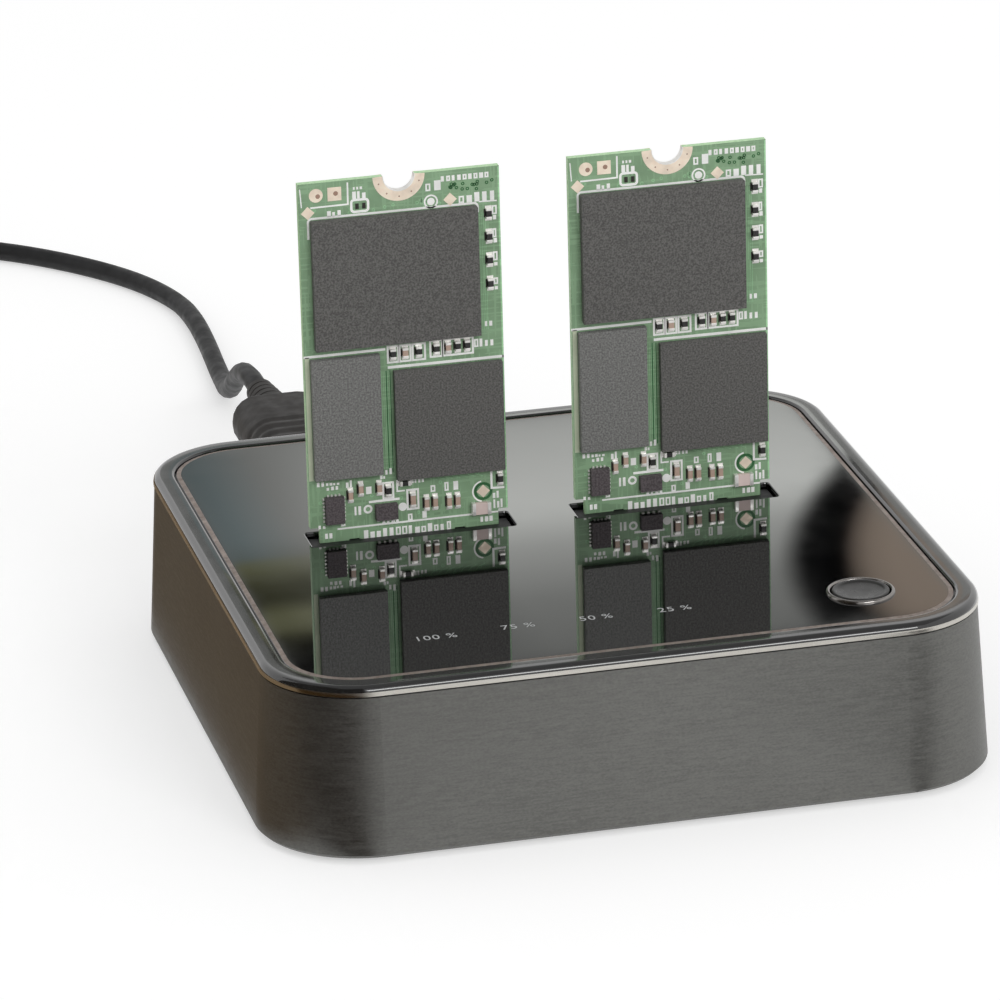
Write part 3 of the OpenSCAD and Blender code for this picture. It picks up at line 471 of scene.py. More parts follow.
# One finish for each slot of the record
finishes = {finish.name: finish for finish in (
    brushed_case(),
    gloss("rim_gloss", (26, 26, 26), 0.08, 1.5, 0.004),
    gloss("plate_gloss", (9, 9, 10), 0.03, 1.7),
    rubbery("gasket_foam", (46, 46, 46), 0.9, 0.2),
    moulded("cover_plastic", (44, 44, 46), 0.6, 0.3, 0.02),
    rubbery("foot_rubber", (34, 34, 34), 0.8, 0.3),
    metal("screw_steel", (176, 176, 178), 0.3),
    board_mask("board_green"),
    moulded("socket_plastic", (26, 26, 27), 0.5),
    epoxy("chip_epoxy", (101, 100, 98)),
    moulded("part_ceramic", (192, 166, 150), 0.4, 0.1, 0.004),
    epoxy("ferrite", (62, 62, 64)),
    metal("can_aluminium", (196, 198, 200), 0.28, (1, 1, 0.1)),
    metal("port_steel", (186, 188, 190), 0.22, (1, 0.1, 1)),
    clear_plastic(),
    metal("ring_chrome", (150, 146, 143), 0.2),
    moulded("button_gloss", (40, 39, 38), 0.3, 0.5, 0.004),
    moulded("plunger_plastic", (150, 150, 150), 0.45),
    rubbery("cord_jacket", (24, 24, 25), 0.5, 1.5),
    rubbery("plug_plastic", (52, 49, 47), 0.55, 0.5),
    moulded("tongue_plastic", (225, 226, 224), 0.45),
    woven(),
)}
# Finishes of details, beside those of the slots
main_mask = board_mask("main_board_mask", axis=2)
ink = moulded("white_ink", (255, 255, 252), 0.6, 0.12, 0.004)
# Cream tone of the stripe along the board's left edge
cream_stripe_tone = moulded("cream_stripe_tone", (206, 216, 188), 0.6, 0.12, 0.004)
plate_ink = moulded("plate_ink", (182, 184, 184), 0.5, 0.12, 0.002)
# Bright metal of the rim's outer lip, partly a painted highlight along the edge
rim_lip = metal("rim_lip", (190, 187, 180), 0.26, (0.1, 0.1, 1))
# Pale pinkish metal on the plate's bevel, a painted reflection
plate_bevel_reflection = metal("plate_bevel_reflection", (174, 162, 155), 0.6)
tin = metal("solder_tin", (244, 242, 238), 0.4, metallic=0.6)
gold = metal("contact_gold", (226, 196, 140), 0.25)
pad_gold = metal("pad_gold", (253, 236, 216), 0.5, metallic=0.35)
laminate = moulded("package_laminate", (38, 52, 40), 0.5, 0.15, 0.006)
black_body = moulded("black_body", (40, 38, 38), 0.4, 0.1, 0.004)
pale_body = moulded("pale_body", (226, 206, 200), 0.45, 0.1, 0.004)
mask_dark = board_mask("mask_dark", (58, 104, 66))
copper_run = board_mask("copper_run", (150, 192, 150))
edge_green = board_mask("edge_green", (172, 222, 172))
# Dark openings in the mask, and painted shadow beside the two-ended parts
hole_dark_and_shadow = moulded("hole_dark_and_shadow", (44, 40, 36), 0.6, 0.1, 0.004)
pad_shade = moulded("pad_shade", (168, 136, 118), 0.5, 0.1, 0.004)
memory_epoxy = epoxy("memory_epoxy", (124, 124, 122))
small_epoxy = epoxy("small_epoxy", (92, 86, 88))


def dress_frame():
    """Gives each CAD node the finish of its slot in the record."""
    for part in frame["record"]["subparts"]:
        piece = cad_nodes[part["node"]]
        piece.data.materials.clear()
        piece.data.materials.append(finishes[part["material_slot"]].material)
    cad_nodes["main_board"].data.materials[0] = main_mask.material


# Shape making

def add_piece(name, bm, finish, body="root", slot=None, replaces=(), crease=35):
    """Turns a bmesh into a piece that rides on a body, smooth except at its creases."""
    bmesh.ops.recalc_face_normals(bm, faces=bm.faces)
    mesh = bpy.data.meshes.new(name)
    bm.to_mesh(mesh)
    bm.free()
    mesh.shade_smooth()
    mesh.set_sharp_from_angle(angle=math.radians(crease))
    mesh.materials.append(finish.material)
    piece = add_object(name, mesh)
    weights = piece.modifiers.new("even normals", "WEIGHTED_NORMAL")
    weights.keep_sharp = True
    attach(piece, body)
    if replaces:
        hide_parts(*replaces)
    return piece


def arc(centre, radius, start, stop, steps):
    """Points on an arc in a plane, angles in degrees."""
    angles = [math.radians(start + (stop - start) * i / steps) for i in range(steps + 1)]
    return [(centre[0] + radius * math.cos(a), centre[1] + radius * math.sin(a)) for a in angles]


def circle(centre, radius, sides):
    """Points round a circle, none of them twice."""
    return arc(centre, radius, 0, 360 - 360 / sides, sides - 1)


def outline_round(half_x, half_y, radius, steps):
    """Points of a rounded rectangle about the origin, four quarters of steps + 1 points."""
    points = []
    for quarter, (sx, sy) in enumerate(((1, 1), (-1, 1), (-1, -1), (1, -1))):
        corner = (sx * (half_x - radius), sy * (half_y - radius))
        points += arc(corner, radius, 90 * quarter, 90 * quarter + 90, steps)
    return points


def case_loop(radius, steps):
    """Outline parallel to the case, at that distance outside its corner centres."""
    return outline_round(corner_x + radius, corner_y + radius, radius, steps)


def ring_at(bm, points, height):
    """Level ring of vertices through points of a plane."""
    return [bm.verts.new((x, y, height)) for x, y in points]


def join_rings(bm, rings, ends="open"):
    """Skins rings of vertices one to the next; the first and last stay open, are capped or meet."""
    pairs = list(zip(rings, rings[1:]))
    if ends == "meet":
        pairs.append((rings[-1], rings[0]))
    for low, high in pairs:
        for i in range(len(low)):
            j = (i + 1) % len(low)
            bm.faces.new((low[i], low[j], high[j], high[i]))
    if ends == "capped":
        bm.faces.new(rings[0])
        bm.faces.new(rings[-1][::-1])


def add_skin(name, rings, ends, finish, **options):
    """Piece skinned over rings of points."""
    bm = bmesh.new()
    join_rings(bm, [[bm.verts.new(point) for point in ring] for ring in rings], ends)
    return add_piece(name, bm, finish, **options)


def add_turned(name, node, profile, ends, finish, body="root"):
    """Piece from (radius, height) points, turned about the middle of the CAD node that it replaces."""
    low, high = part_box(node)
    centre = (low + high) / 2
    sides = 72
    rings = [[(x, y, height) for x, y in circle(centre, radius, sides)] for radius, height in profile]
    add_skin(name, rings, ends, finish, body=body, replaces=[node])


def make_rim():
    """Raised rim: flat top, rounded outer edge with a bright metal lip that also paints the edge's
    highlight, inner bevel, ledge and skirt below.
    """
    low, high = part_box("top_frame")
    top = high.z
    edge = high.x - corner_x
    wall_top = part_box("housing_shell")[1].z
    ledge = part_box("plate_gasket")[0].z
    round_out = 0.8 * MM
    round_in = 0.3 * MM
    mouth = PLATE_R + 0.1 * MM
    lip_low = wall_top + 0.14 * MM
    lip_high = top - 0.6 * MM
    chamfer = 0.05 * MM
    groove_in = edge - 0.4 * MM
    skirt_out = 8.75 * MM
    skirt_in = 7.55 * MM
    ledge_in = 6.4 * MM
    ledge_low = ledge - 1 * MM
    profile = [
        (skirt_out, wall_top), (groove_in, wall_top), (groove_in, lip_low),
        (edge - chamfer, lip_low), (edge, lip_low + chamfer),
    ]
    profile += arc((edge - round_out, top - round_out), round_out, 0, 90, 8)
    profile += arc((mouth + round_in, top - round_in), round_in, 90, 180, 5)
    profile += [
        (mouth, ledge), (ledge_in, ledge), (ledge_in, ledge_low), (skirt_in, ledge_low),
        (skirt_in, low.z), (skirt_out, low.z),
    ]
    bm = bmesh.new()
    join_rings(bm, [ring_at(bm, case_loop(radius, 20), height) for radius, height in profile], "meet")
    # Faces of the outer lip take the bright metal, which also serves as a painted highlight on the edge
    for face in bm.faces:
        middle = face.calc_center_median()
        reach = math.hypot(max(abs(middle.x) - corner_x, 0), max(abs(middle.y) - corner_y, 0))
        if reach > groove_in and lip_low + 0.01 * MM < middle.z < lip_high:
            face.material_index = 1
    rim = add_piece("rim", bm, finishes["rim_gloss"], replaces=["top_frame"], crease=40)
    rim.data.materials.append(rim_lip.material)


def make_plate():
    """Glossy plate: broad shallow bevel round it in a pale metal that paints its reflection, softened slots
    and the button's hole.
    """
    bevel = 0.62 * MM
    bevel_drop = 0.08 * MM
    turn_down = 0.12 * MM
    soft = 0.14 * MM
    soft_middle = 0.3 * soft
    slot_half_x, slot_half_y, slot_r = 11.3 * MM, 2.3 * MM, 0.35 * MM
    under_ring = 0.15 * MM
    bottom = plate_low.z
    bm = bmesh.new()
    outer = [ring_at(bm, case_loop(radius, 16), height) for radius, height in (
        (PLATE_R - bevel, plate_top), (PLATE_R - turn_down, plate_top - bevel_drop),
        (PLATE_R, plate_top - bevel_drop - turn_down), (PLATE_R, bottom))]
    # The bevel's faces take the pale metal, a painted reflection
    join_rings(bm, outer[:2])
    for face in bm.faces:
        face.material_index = 1
    join_rings(bm, outer[1:])
    edges = [outer]
    for side in ("left", "right"):
        low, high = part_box("socket_" + side)
        centre = (low + high) / 2
        rings = []
        for grow, height in ((soft, plate_top), (soft_middle, plate_top - soft_middle),
                             (0, plate_top - soft), (0, bottom)):
            outline = outline_round(slot_half_x + grow, slot_half_y + grow, slot_r + grow, 6)
            rings.append(ring_at(bm, [(centre.x + x, centre.y + y) for x, y in outline], height))
        join_rings(bm, rings)
        edges.append(rings)
    low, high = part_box("button_ring")
    centre = (low + high) / 2
    hole = circle(centre, (high.x - low.x) / 2 - under_ring, 60)
    edges.append([ring_at(bm, hole, height) for height in (plate_top, bottom)])
    join_rings(bm, edges[-1])
    for level in (0, -1):
        loops = [rings[level] for rings in edges]
        fill = [bm.edges.get(pair) for ring in loops for pair in zip(ring, ring[1:] + ring[:1])]
        bmesh.ops.triangle_fill(bm, edges=fill, use_beauty=True)
    plate = add_piece("plate", bm, finishes["plate_gloss"], replaces=["top_plate"], crease=6.5)
    plate.data.materials.append(plate_bevel_reflection.material)


def make_button():
    """Round cap with a dished face and a soft edge, on its stem."""
    low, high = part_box("clone_button")
    cap_r = 3.06 * MM
    edge = 0.18 * MM
    dish_r = cap_r - 0.5 * MM
    dish_top = high.z - 0.03 * MM
    dish = 0.3 * MM
    flange_r = (high.x - low.x) / 2
    flange = plate_low.z - 0.1 * MM
    flange_low = flange - 0.8 * MM
    stem_r = 1.5 * MM
    profile = [
        (stem_r, low.z), (stem_r, flange_low), (flange_r, flange_low), (flange_r, flange), (cap_r, flange),
    ]
    profile += arc((cap_r - edge, high.z - edge), edge, 0, 90, 5)
    profile += [(dish_r * math.cos(t), dish_top - dish * math.sin(t) ** 0.8)
                for t in map(math.radians, range(4, 86, 9))]
    add_turned("round_button", "clone_button", profile, "capped", finishes["button_gloss"], "clone_button")


def make_ring():
    """Bright ring with a rounded crown."""
    low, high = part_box("button_ring")
    outer = (high.x - low.x) / 2
    bore = outer - 0.45 * MM
    sleeve = bore + 0.35 * MM
    crown = (outer - bore) / 2
    middle = (outer + bore) / 2
    profile = [(bore, low.z), (sleeve, low.z), (sleeve, plate_top), (outer, plate_top)]
    profile += [(middle + crown * math.cos(t), plate_top + (high.z - plate_top) * math.sin(t))
                for t in map(math.radians, range(10, 171, 16))]
    add_turned("bright_ring", "button_ring", profile, "meet", finishes["ring_chrome"])


def make_marks():
    """Percentage marks along the front of the plate."""
    size = 1.7 * MM
    lift = 0.01 * MM
    spacing = 1.12
    for text, x, y in (("100 %", -19.5, -26.85), ("75 %", -10.6, -26.4), ("50 %", -2.2, -26.4),
                       ("25 %", 6.3, -26.5)):
        name = "mark_" + text.split()[0]
        curve = bpy.data.curves.new(name, "FONT")
        curve.body = text
        curve.size = size
        curve.align_x = "CENTER"
        curve.align_y = "CENTER"
        curve.extrude = lift / 2
        curve.space_character = spacing
        curve.materials.append(plate_ink.material)
        mark = add_object(name, curve)
        mark.location = (x * MM, y * MM, plate_top + lift)
        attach(mark, "root")


# Card drives: u is mm from a board's left edge, v mm down from its top, t mm out of its front face

CARD_W = 22
CARD_LEN = 42
CARD_MID = CARD_W / 2
KEYS = (CARD_MID - 6.125, CARD_MID + 5.625)
INK_T = 0.02
RUN_T = 0.012
PAD_T = 0.035


class Sketch:
    """Flat shapes raised from one face of a card, gathered into one piece."""

    def __init__(self, side, back=False):
        self.side = side
        self.low, self.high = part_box(f"drive_{side}_board")
        self.back = back
        self.bm = bmesh.new()

    def point(self, u, v, t):
        if self.back:
            return Vector((self.high.x - u * MM, self.high.y + t * MM, self.high.z - v * MM))
        return Vector((self.low.x + u * MM, self.low.y - t * MM, self.high.z - v * MM))

    def prism(self, outline, low, high, bevel=0.0):
        """Solid between two depths, with a bevel round its outer face."""
        bottom, top = ([self.bm.verts.new(self.point(u, v, t)) for u, v in outline] for t in (low, high))
        cap = self.bm.faces.new(top)
        self.bm.faces.new(bottom[::-1])
        join_rings(self.bm, [bottom, top])
        if bevel:
            edges = list(cap.edges)
            edges += [edge for vert in top for edge in vert.link_edges if edge not in edges]
            bmesh.ops.bevel(self.bm, geom=edges, offset=bevel * MM, segments=2, affect="EDGES", profile=0.6)

    def rect(self, u, v, width, height, low, high, bevel=0.0):
        """Block from its upper left corner."""
        self.prism([(u, v), (u + width, v), (u + width, v + height), (u, v + height)], low, high, bevel)

    def patch(self, u, v, width, height, low, high, bevel=0.0):
        """Block about its middle."""
        self.rect(u - width / 2, v - height / 2, width, height, low, high, bevel)

    def disc(self, u, v, radius, low, high, sides):
        self.prism(circle((u, v), radius, sides), low, high)

    def line(self, points, width, high=INK_T, low=0.0, longer=True):
        """Flat line through the points, mitred at its bends and closed when it ends where it starts."""
        closed = points[0] == points[-1]
        way = [Vector(p) for p in (points[:-1] if closed else points)]
        count = len(way)
        steps = [(way[(i + 1) % count] - way[i]).normalized() for i in range(count)]
        rings = []
        for i, spot in enumerate(way):
            before = steps[i - 1] if i or closed else steps[0]
            after = steps[i] if i < count - 1 or closed else steps[i - 1]
            side = (before + after).orthogonal()
            reach = side.normalized() * width / 2 / max(0.5, side.length / 2)
            if longer and not closed and i in (0, count - 1):
                spot = spot + after * (width / 2 if i else -width / 2)
            left, right = spot + reach, spot - reach
            rings.append([self.bm.verts.new(self.point(*place)) for place in (
                (*left, low), (*left, high), (*right, high), (*right, low))])
        join_rings(self.bm, rings, "meet" if closed else "capped")

    def ring(self, u, v, outer, inner, high, low=0, start=0, stop=360, sides=28):
        """Flat ring or part of one."""
        steps = max(3, round(sides * (stop - start) / 360))
        points = arc((u, v), (outer + inner) / 2, start, stop, steps)
        if stop - start >= 360:
            points[-1] = points[0]
        self.line(points, outer - inner, high, low, longer=False)

    def box_line(self, u, v, width, height, line_width):
        corners = [(u, v), (u + width, v), (u + width, v + height), (u, v + height), (u, v)]
        self.line(corners, line_width)

    def blocks(self, u, v, width, height, count, seed):
        """Row of plain blocks, full or outlined, of chance widths."""
        dice = random.Random(seed)
        pitch = width / count
        half = 0.08
        for i in range(count):
            block = pitch * dice.uniform(0.5, 0.78)
            drop = dice.choice((0, 0, 0.25 * height))
            left, top, tall = u + i * pitch, v + drop, height - drop
            if min(block, tall) > 0.42 and dice.random() < 0.6:
                self.box_line(left + half, top + half, block - 2 * half, tall - 2 * half, 0.17)
            else:
                self.rect(left, top, block, tall, 0, INK_T)

    def done(self, name, finish, slot, replaces=()):
        """Turns the sketch into a piece of its drive."""
        drive = "drive_" + self.side
        add_piece(f"{drive}_{name}", self.bm, finish, drive, slot, [f"{drive}_{node}" for node in replaces])


FLASH = (1.15, 4.1, 18.2, 14.5)
CONTROLLER = (9.65, 21.8, 12, 12.45)
MEMORY = (0.6, 19.65, 7.55, 13.7)

# The two-ended parts: length, width, whether they stand along v, body, and the middle (u, v) of each
PASSIVES = [
    (1.15, 0.6, True, "black", [(20.7, 5.2), (20.7, 7.8), (20.7, 10.45), (20.7, 13.1)]),
    (1.1, 0.6, True, "black", [(9.75, 19.95), (12.6, 19.95), (14.55, 19.85)]),
    (1.1, 0.6, True, "tan", [(11.1, 19.95)]),
    (1.1, 0.55, True, "tan", [(15.85, 19.85)]),
    (1.1, 0.55, True, "black", [(16.9, 19.8), (17.95, 19.8)]),
    (1.3, 0.5, True, "tan", [(4.55, 35.6), (5.7, 35), (7.75, 35.1)]),
    (1.2, 0.55, True, "black", [(8.75, 35.5), (21.2, 35.5)]),
    (1.1, 0.5, False, "black", [(10.6, 34.85)]),
    (1.5, 0.55, True, "tan", [(11.45, 36.85)]),
    (1.4, 0.5, True, "tan", [(12.95, 37.4), (13.9, 37.4), (15.45, 37.5), (16.4, 37.5)]),
]


def make_board(side):
    """Bare board: half-round notch above, keyed tongue below."""
    notch_r = 1.75
    shoulder, tip = CARD_LEN - 3, 0.3
    left, right = CARD_MID - 9.925, CARD_MID + 9.925
    half_key, key_top = 0.6, CARD_LEN - 1.35
    outline = [(0, 0)] + arc((CARD_MID, 0), notch_r, 180, 0, 32) + [(CARD_W, 0), (CARD_W, shoulder)]
    outline += [(right, shoulder), (right, CARD_LEN - tip), (right - tip, CARD_LEN)]
    for key in reversed(KEYS):
        outline += [(key + half_key, CARD_LEN), (key + half_key, key_top)]
        outline += [(key - half_key, key_top), (key - half_key, CARD_LEN)]
    outline += [(left + tip, CARD_LEN), (left, CARD_LEN - tip), (left, shoulder), (0, shoulder)]
    board = Sketch(side)
    board.prism(outline, -(board.high.y - board.low.y) / MM, 0)
    board.done("bare_board", finishes["board_green"], "board_green", ["board"])


def make_package(side, kind, place, height, compound):
    """Moulded package on its laminate and solder balls."""
    u, v, width, length = place
    name = kind + "_chip"
    ball_t, laminate_top, margin = 0.14, 0.28, 0.02
    pitch, inset, ball_r, sides = 0.8, 0.35, 0.2, 8
    top = Sketch(side)
    top.rect(u, v, width, length, laminate_top, height, 0.06)
    top.done(name, compound, "chip_epoxy", [kind])
    base = Sketch(side)
    base.rect(u + margin, v + margin, width - 2 * margin, length - 2 * margin, ball_t, laminate_top)
    base.done(name + "_laminate", laminate, "chip_epoxy")
    balls = Sketch(side)
    span_u, span_v = width - 2 * inset, length - 2 * inset
    columns, rows = int(span_u / pitch), int(span_v / pitch)
    places = [(i * span_u / columns, at) for i in range(columns + 1) for at in (0, span_v)]
    places += [(at, i * span_v / rows) for i in range(1, rows) for at in (0, span_u)]
    for a, b in places:
        balls.disc(u + inset + a, v + inset + b, ball_r, 0, ball_t, sides)
    balls.done(name + "_balls", tin, "screw_steel")


def make_passives(side):
    """Two-ended parts: bodies of three kinds, and their tinned ends on pads."""
    bodies = {kind: Sketch(side) for kind in ("black", "tan", "pale")}
    ends = Sketch(side)
    body_t, tip, lap, soft = 0.4, 0.28, 0.03, 0.04
    pad, pad_out, pad_side, pad_t = 0.36, 0.08, 0.06, 0.06

    def block(sketch, part, along, long, wide, low, high, bevel=0.0):
        """Block of a part, at a distance along it from its middle."""
        u, v, upright = part
        place = (u, v + along, wide, long) if upright else (u + along, v, long, wide)
        sketch.patch(*place, low, high, bevel)

    for length, width, upright, kind, places in PASSIVES:
        for u, v in places:
            part = (u, v, upright)
            block(bodies[kind], part, 0, length, width, lap, body_t, lap)
            for s in (-1, 1):
                end = s * (length / 2 - tip / 2 + lap)
                block(ends, part, end, tip, width + 2 * lap, 0, body_t + soft, soft)
                block(ends, part, s * (length / 2 + pad_out), pad, width + 2 * pad_side, 0, pad_t)
    return bodies, ends


def make_small_chips(side, bodies, ends):
    """The square chip with pins on its sides, the small chip beside it and the pale part."""
    chips = Sketch(side)
    chips.rect(1.65, 35.5, 2.1, 3.05, 0.05, 0.8, 0.05)
    pitch, pin_w, pin_len, pin_t = 0.42, 0.2, 0.22, 0.2
    for i in range(7):
        for u in (1.45, 3.72):
            ends.rect(u, 35.65 + i * pitch, pin_len, pin_w, 0, pin_t)
    for i in range(4):
        for v in (35.3, 38.52):
            ends.rect(1.95 + i * pitch, v, pin_w, pin_len, 0, pin_t)
    chips.rect(7.2, 36.95, 2.45, 1.75, 0.05, 0.75, 0.05)
    for i in range(4):
        ends.rect(7.4 + i * 0.6, 38.65, 0.28, 0.3, 0, 0.3, 0.03)
    bodies["pale"].rect(18.2, 38, 1.6, 1.3, 0.05, 0.62, 0.06)
    for u in (17.9, 19.6):
        ends.rect(u, 37.96, 0.42, 1.38, 0, 0.66, 0.05)
    chips.done("small_chips", small_epoxy, "part_ceramic")


# Printed lines: width, and the points on each
INK_LINES = [
    (0.12, [(0.22, 0.6), (0.34, 2.55)]), (0.18, [(1.4, 2.72), (5.4, 2.68), (5.42, 0.35)]),
    (0.28, [(0.1, 19.42), (8.8, 19.38)]), (0.3, [(9.3, 21.5), (21.85, 21.55)]),
    (0.14, [(19.75, 3.85), (21.6, 3.9)]), (0.2, [(3.1, 39.36), (20.8, 39.34)]),
    (0.26, [(6.7, 36.65), (9.85, 36.62)]), (0.24, [(20.25, 34.6), (20.25, 36.55), (21.55, 36.6)]),
    (0.18, [(9.75, 34.55), (9.75, 35.75), (10.5, 35.75)]),
]
# Printed boxes round parts: upper left corner, width and height
INK_BOXES = [
    (9.2, 19.15, 1.15, 1.8), (10.5, 19.15, 1.2, 1.8), (11.95, 19.15, 1.35, 1.8), (13.9, 19, 1.3, 1.8),
    (15.3, 19, 3.3, 1.8), (10.85, 35.75, 1.2, 2.2), (8.2, 34.65, 1.1, 1.75),
]
# Rows of plain blocks: upper left corner, width, height and count; the place in the list is the seed
INK_ROWS = [
    (3.1, 3.25, 1.7, 0.62, 3), (6, 0.85, 1.1, 0.3, 3), (5.9, 1.35, 1.6, 0.8, 3), (13.9, 1, 1.9, 1.1, 2),
    (15.6, 0.6, 5.4, 0.6, 9), (17.5, 2.75, 4.3, 1.05, 5),
]
for row_v in (4.4, 7, 9.6, 12.3):
    INK_ROWS += [(21.1, row_v, 0.75, 1, 1), (21.2, row_v + 1.1, 0.6, 0.5, 1)]
INK_ROWS += [
    (20, 17.2, 0.95, 0.75, 2), (18.75, 19.3, 2.4, 0.9, 4), (0.9, 33.8, 1, 0.5, 2),
    (1.9, 33.95, 1.6, 0.32, 4), (1.95, 34.4, 1.5, 0.42, 3), (4.1, 33.9, 0.85, 0.85, 2),
    (6.3, 34.6, 0.8, 1.1, 1), (8.5, 33, 0.9, 0.7, 2), (7.9, 33.75, 0.7, 0.4, 2), (10.9, 34.5, 2, 0.5, 5),
    (13.45, 35.25, 0.75, 1, 1), (15, 35.3, 0.75, 1, 1), (16, 35.3, 0.75, 1, 1),
    (20.35, 36.95, 0.85, 0.8, 2), (20.4, 37.9, 1.2, 1, 3), (10.85, 38.5, 0.75, 0.75, 1),
    (12.45, 38.35, 0.75, 0.8, 1), (4.95, 37, 0.85, 1, 2), (0.9, 38.75, 1, 0.4, 2),
    (3.4, 38.4, 0.75, 0.7, 1), (8, 39, 2, 0.25, 4), (1.6, 39.75, 0.95, 0.6, 2),
    (18.9, 39.75, 1.5, 0.6, 3), (5.9, 39.85, 9.95, 0.95, 14),
]


def make_ink(side):
    """White lines, boxes and marks printed on the board, and the paler stripes beside its edges."""
    sketch = Sketch(side)
    for width, points in INK_LINES:
        sketch.line(points, width)
    for box in INK_BOXES:
        sketch.box_line(*box, 0.22)
    oval = [(6.68 + u, 2.95 + v) for u, v in outline_round(0.92, 0.66, 0.3, 3)]
    sketch.line(oval + oval[:1], 0.26)
    gap, bend = 0.16, 0.4
    left, top, right = FLASH[0] - gap, FLASH[1] - gap, FLASH[0] + FLASH[2] + 0.2
    outline = [(left, FLASH[1] + 2)] + arc((left + bend, top + bend), bend, 180, 270, 4)
    outline += arc((right - bend, top + bend), bend, 270, 360, 4) + [(right, FLASH[1] + 0.8)]
    sketch.line(outline, 0.24)
    sketch.ring(14.45, 3.3, 0.78, 0.6, INK_T)
    sketch.disc(14.45, 3.3, 0.42, 0, INK_T, 14)
    sketch.ring(19.3, 36.8, 1.25, 1.08, INK_T, start=100, stop=260)
    sketch.disc(10.3, 37.6, 0.48, 0, 0.025, 16)
    sketch.ring(6.45, 37.45, 0.5, 0.26, INK_T)
    for seed, row in enumerate(INK_ROWS):
        sketch.blocks(*row, seed)
    sketch.done("ink", ink, "board_green")
    # Paler cream stripe along the left edge, beside the memory chip
    stripe = Sketch(side)
    stripe.line([(0.33, 19.7), (0.33, 33.3)], 0.5)
    stripe.done("cream_stripe", cream_stripe_tone, "board_green")
    edge = Sketch(side)
    edge.line([(21.9, 0.2), (21.9, 38.9)], 0.16)
    edge.done("edge_stripe", edge_green, "board_green")


def make_pads(side):
    """Bare pads: round, square and diamond shaped, the plated fixing notch, and dark patches with painted
    shadow beside the two-ended parts.
    """
    half_turn = {"start": 0, "stop": 180, "sides": 60}
    pads = Sketch(side)
    pads.disc(1.95, 1.4, 0.76, 0, PAD_T, 24)
    pads.rect(3.22, 0.65, 1.5, 1.5, 0, PAD_T)
    for u, v in ((1, 3.28), (16.55, 3.26), (19.3, 36.8)):
        pads.disc(u, v, 0.74, 0, PAD_T, 4)
    pads.ring(CARD_MID, 0, 2.85, 1.74, 0.04, **half_turn)
    pads.done("pads", pad_gold, "part_ceramic")
    lining = Sketch(side)
    lining.ring(CARD_MID, 0, 1.78, 1.7, 0.045, -0.845, **half_turn)
    lining.done("notch_lining", tin, "screw_steel")
    dents = Sketch(side)
    for u, v in ((2.15, 1.5), (4.1, 1.35)):
        dents.disc(u, v, 0.26, 0, 0.045, 14)
    for u, v in arc((CARD_MID, 0), 2.35, 20, 160, 4):
        dents.disc(u, v, 0.09, 0, 0.05, 8)
    dents.done("pad_dents", pad_shade, "part_ceramic")
    dark = Sketch(side)
    for u in (6.2, 6.95):
        dark.rect(u, 2.7, 0.36, 0.6, 0, 0.12, 0.03)
    # Dark patches under the two-ended parts, wider and shifted left: mask openings with painted shadow at
    # their sides
    for length, width, upright, _, places in PASSIVES:
        wide, tall = (width, length) if upright else (length, width)
        for u, v in places:
            dark.patch(u - 0.05, v, wide + 0.3, tall - 0.2, 0, 0.015)
    dark.done("pad_holes_and_shadows", hole_dark_and_shadow, "board_green")
    holes = Sketch(side)
    holes.ring(19.3, 36.8, 1.04, 0.72, RUN_T)
    dice = random.Random(7)
    for _ in range(16):
        holes.ring(dice.uniform(16.4, 21.3), dice.uniform(1.5, 2.4), 0.2, 0.08, INK_T, sides=10)
    holes.done("top_vias", mask_dark, "board_green")


def make_runs(side):
    """Raised copper runs under the mask: a fan below the controller, a few long runs and vias."""
    runs = Sketch(side)
    for i in range(7):
        u = 13.2 + i * 0.85
        runs.line([(u, 34.35), (u + 0.25, 34.7), (u + 1, 34.9 + 0.02 * i)], 0.1, RUN_T)
    for i in range(4):
        runs.line([(19.75 + i * 0.2, 5.2), (19.75 + i * 0.2, 18.3)], 0.08, RUN_T)
    for i in range(5):
        u = 8.4 + i * 0.22
        runs.line([(u, 21.9), (u, 33)], 0.09, RUN_T)
    dice = random.Random(3)
    for _ in range(40):
        u, v = dice.uniform(0.8, 21.2), dice.choice((dice.uniform(34.2, 38.8), dice.uniform(3, 3.7)))
        runs.ring(u, v, 0.2, 0.09, 0.014, sides=10)
    runs.done("runs", copper_run, "board_green")
    gaps = Sketch(side)
    for u in (8.95, 9.35):
        gaps.line([(u, 21.9), (u, 33.4)], 0.14, 0.01)
    gaps.done("run_gaps", mask_dark, "board_green")


def make_contacts(side):
    """Gold contacts on both faces of the tongue, clear of the keys."""
    pitch, width, height, key_clear = 0.5, 0.35, 1, 0.85
    for face, back in (("front", False), ("back", True)):
        contacts = Sketch(side, back)
        for i in range(-19, 20):
            u = CARD_MID + i * pitch
            if min(abs((CARD_W - u if back else u) - key) for key in KEYS) > key_clear:
                contacts.rect(u - width / 2, CARD_LEN - 1.2, width, height, 0, 0.03)
        contacts.done("contacts_" + face, gold, "ring_chrome")


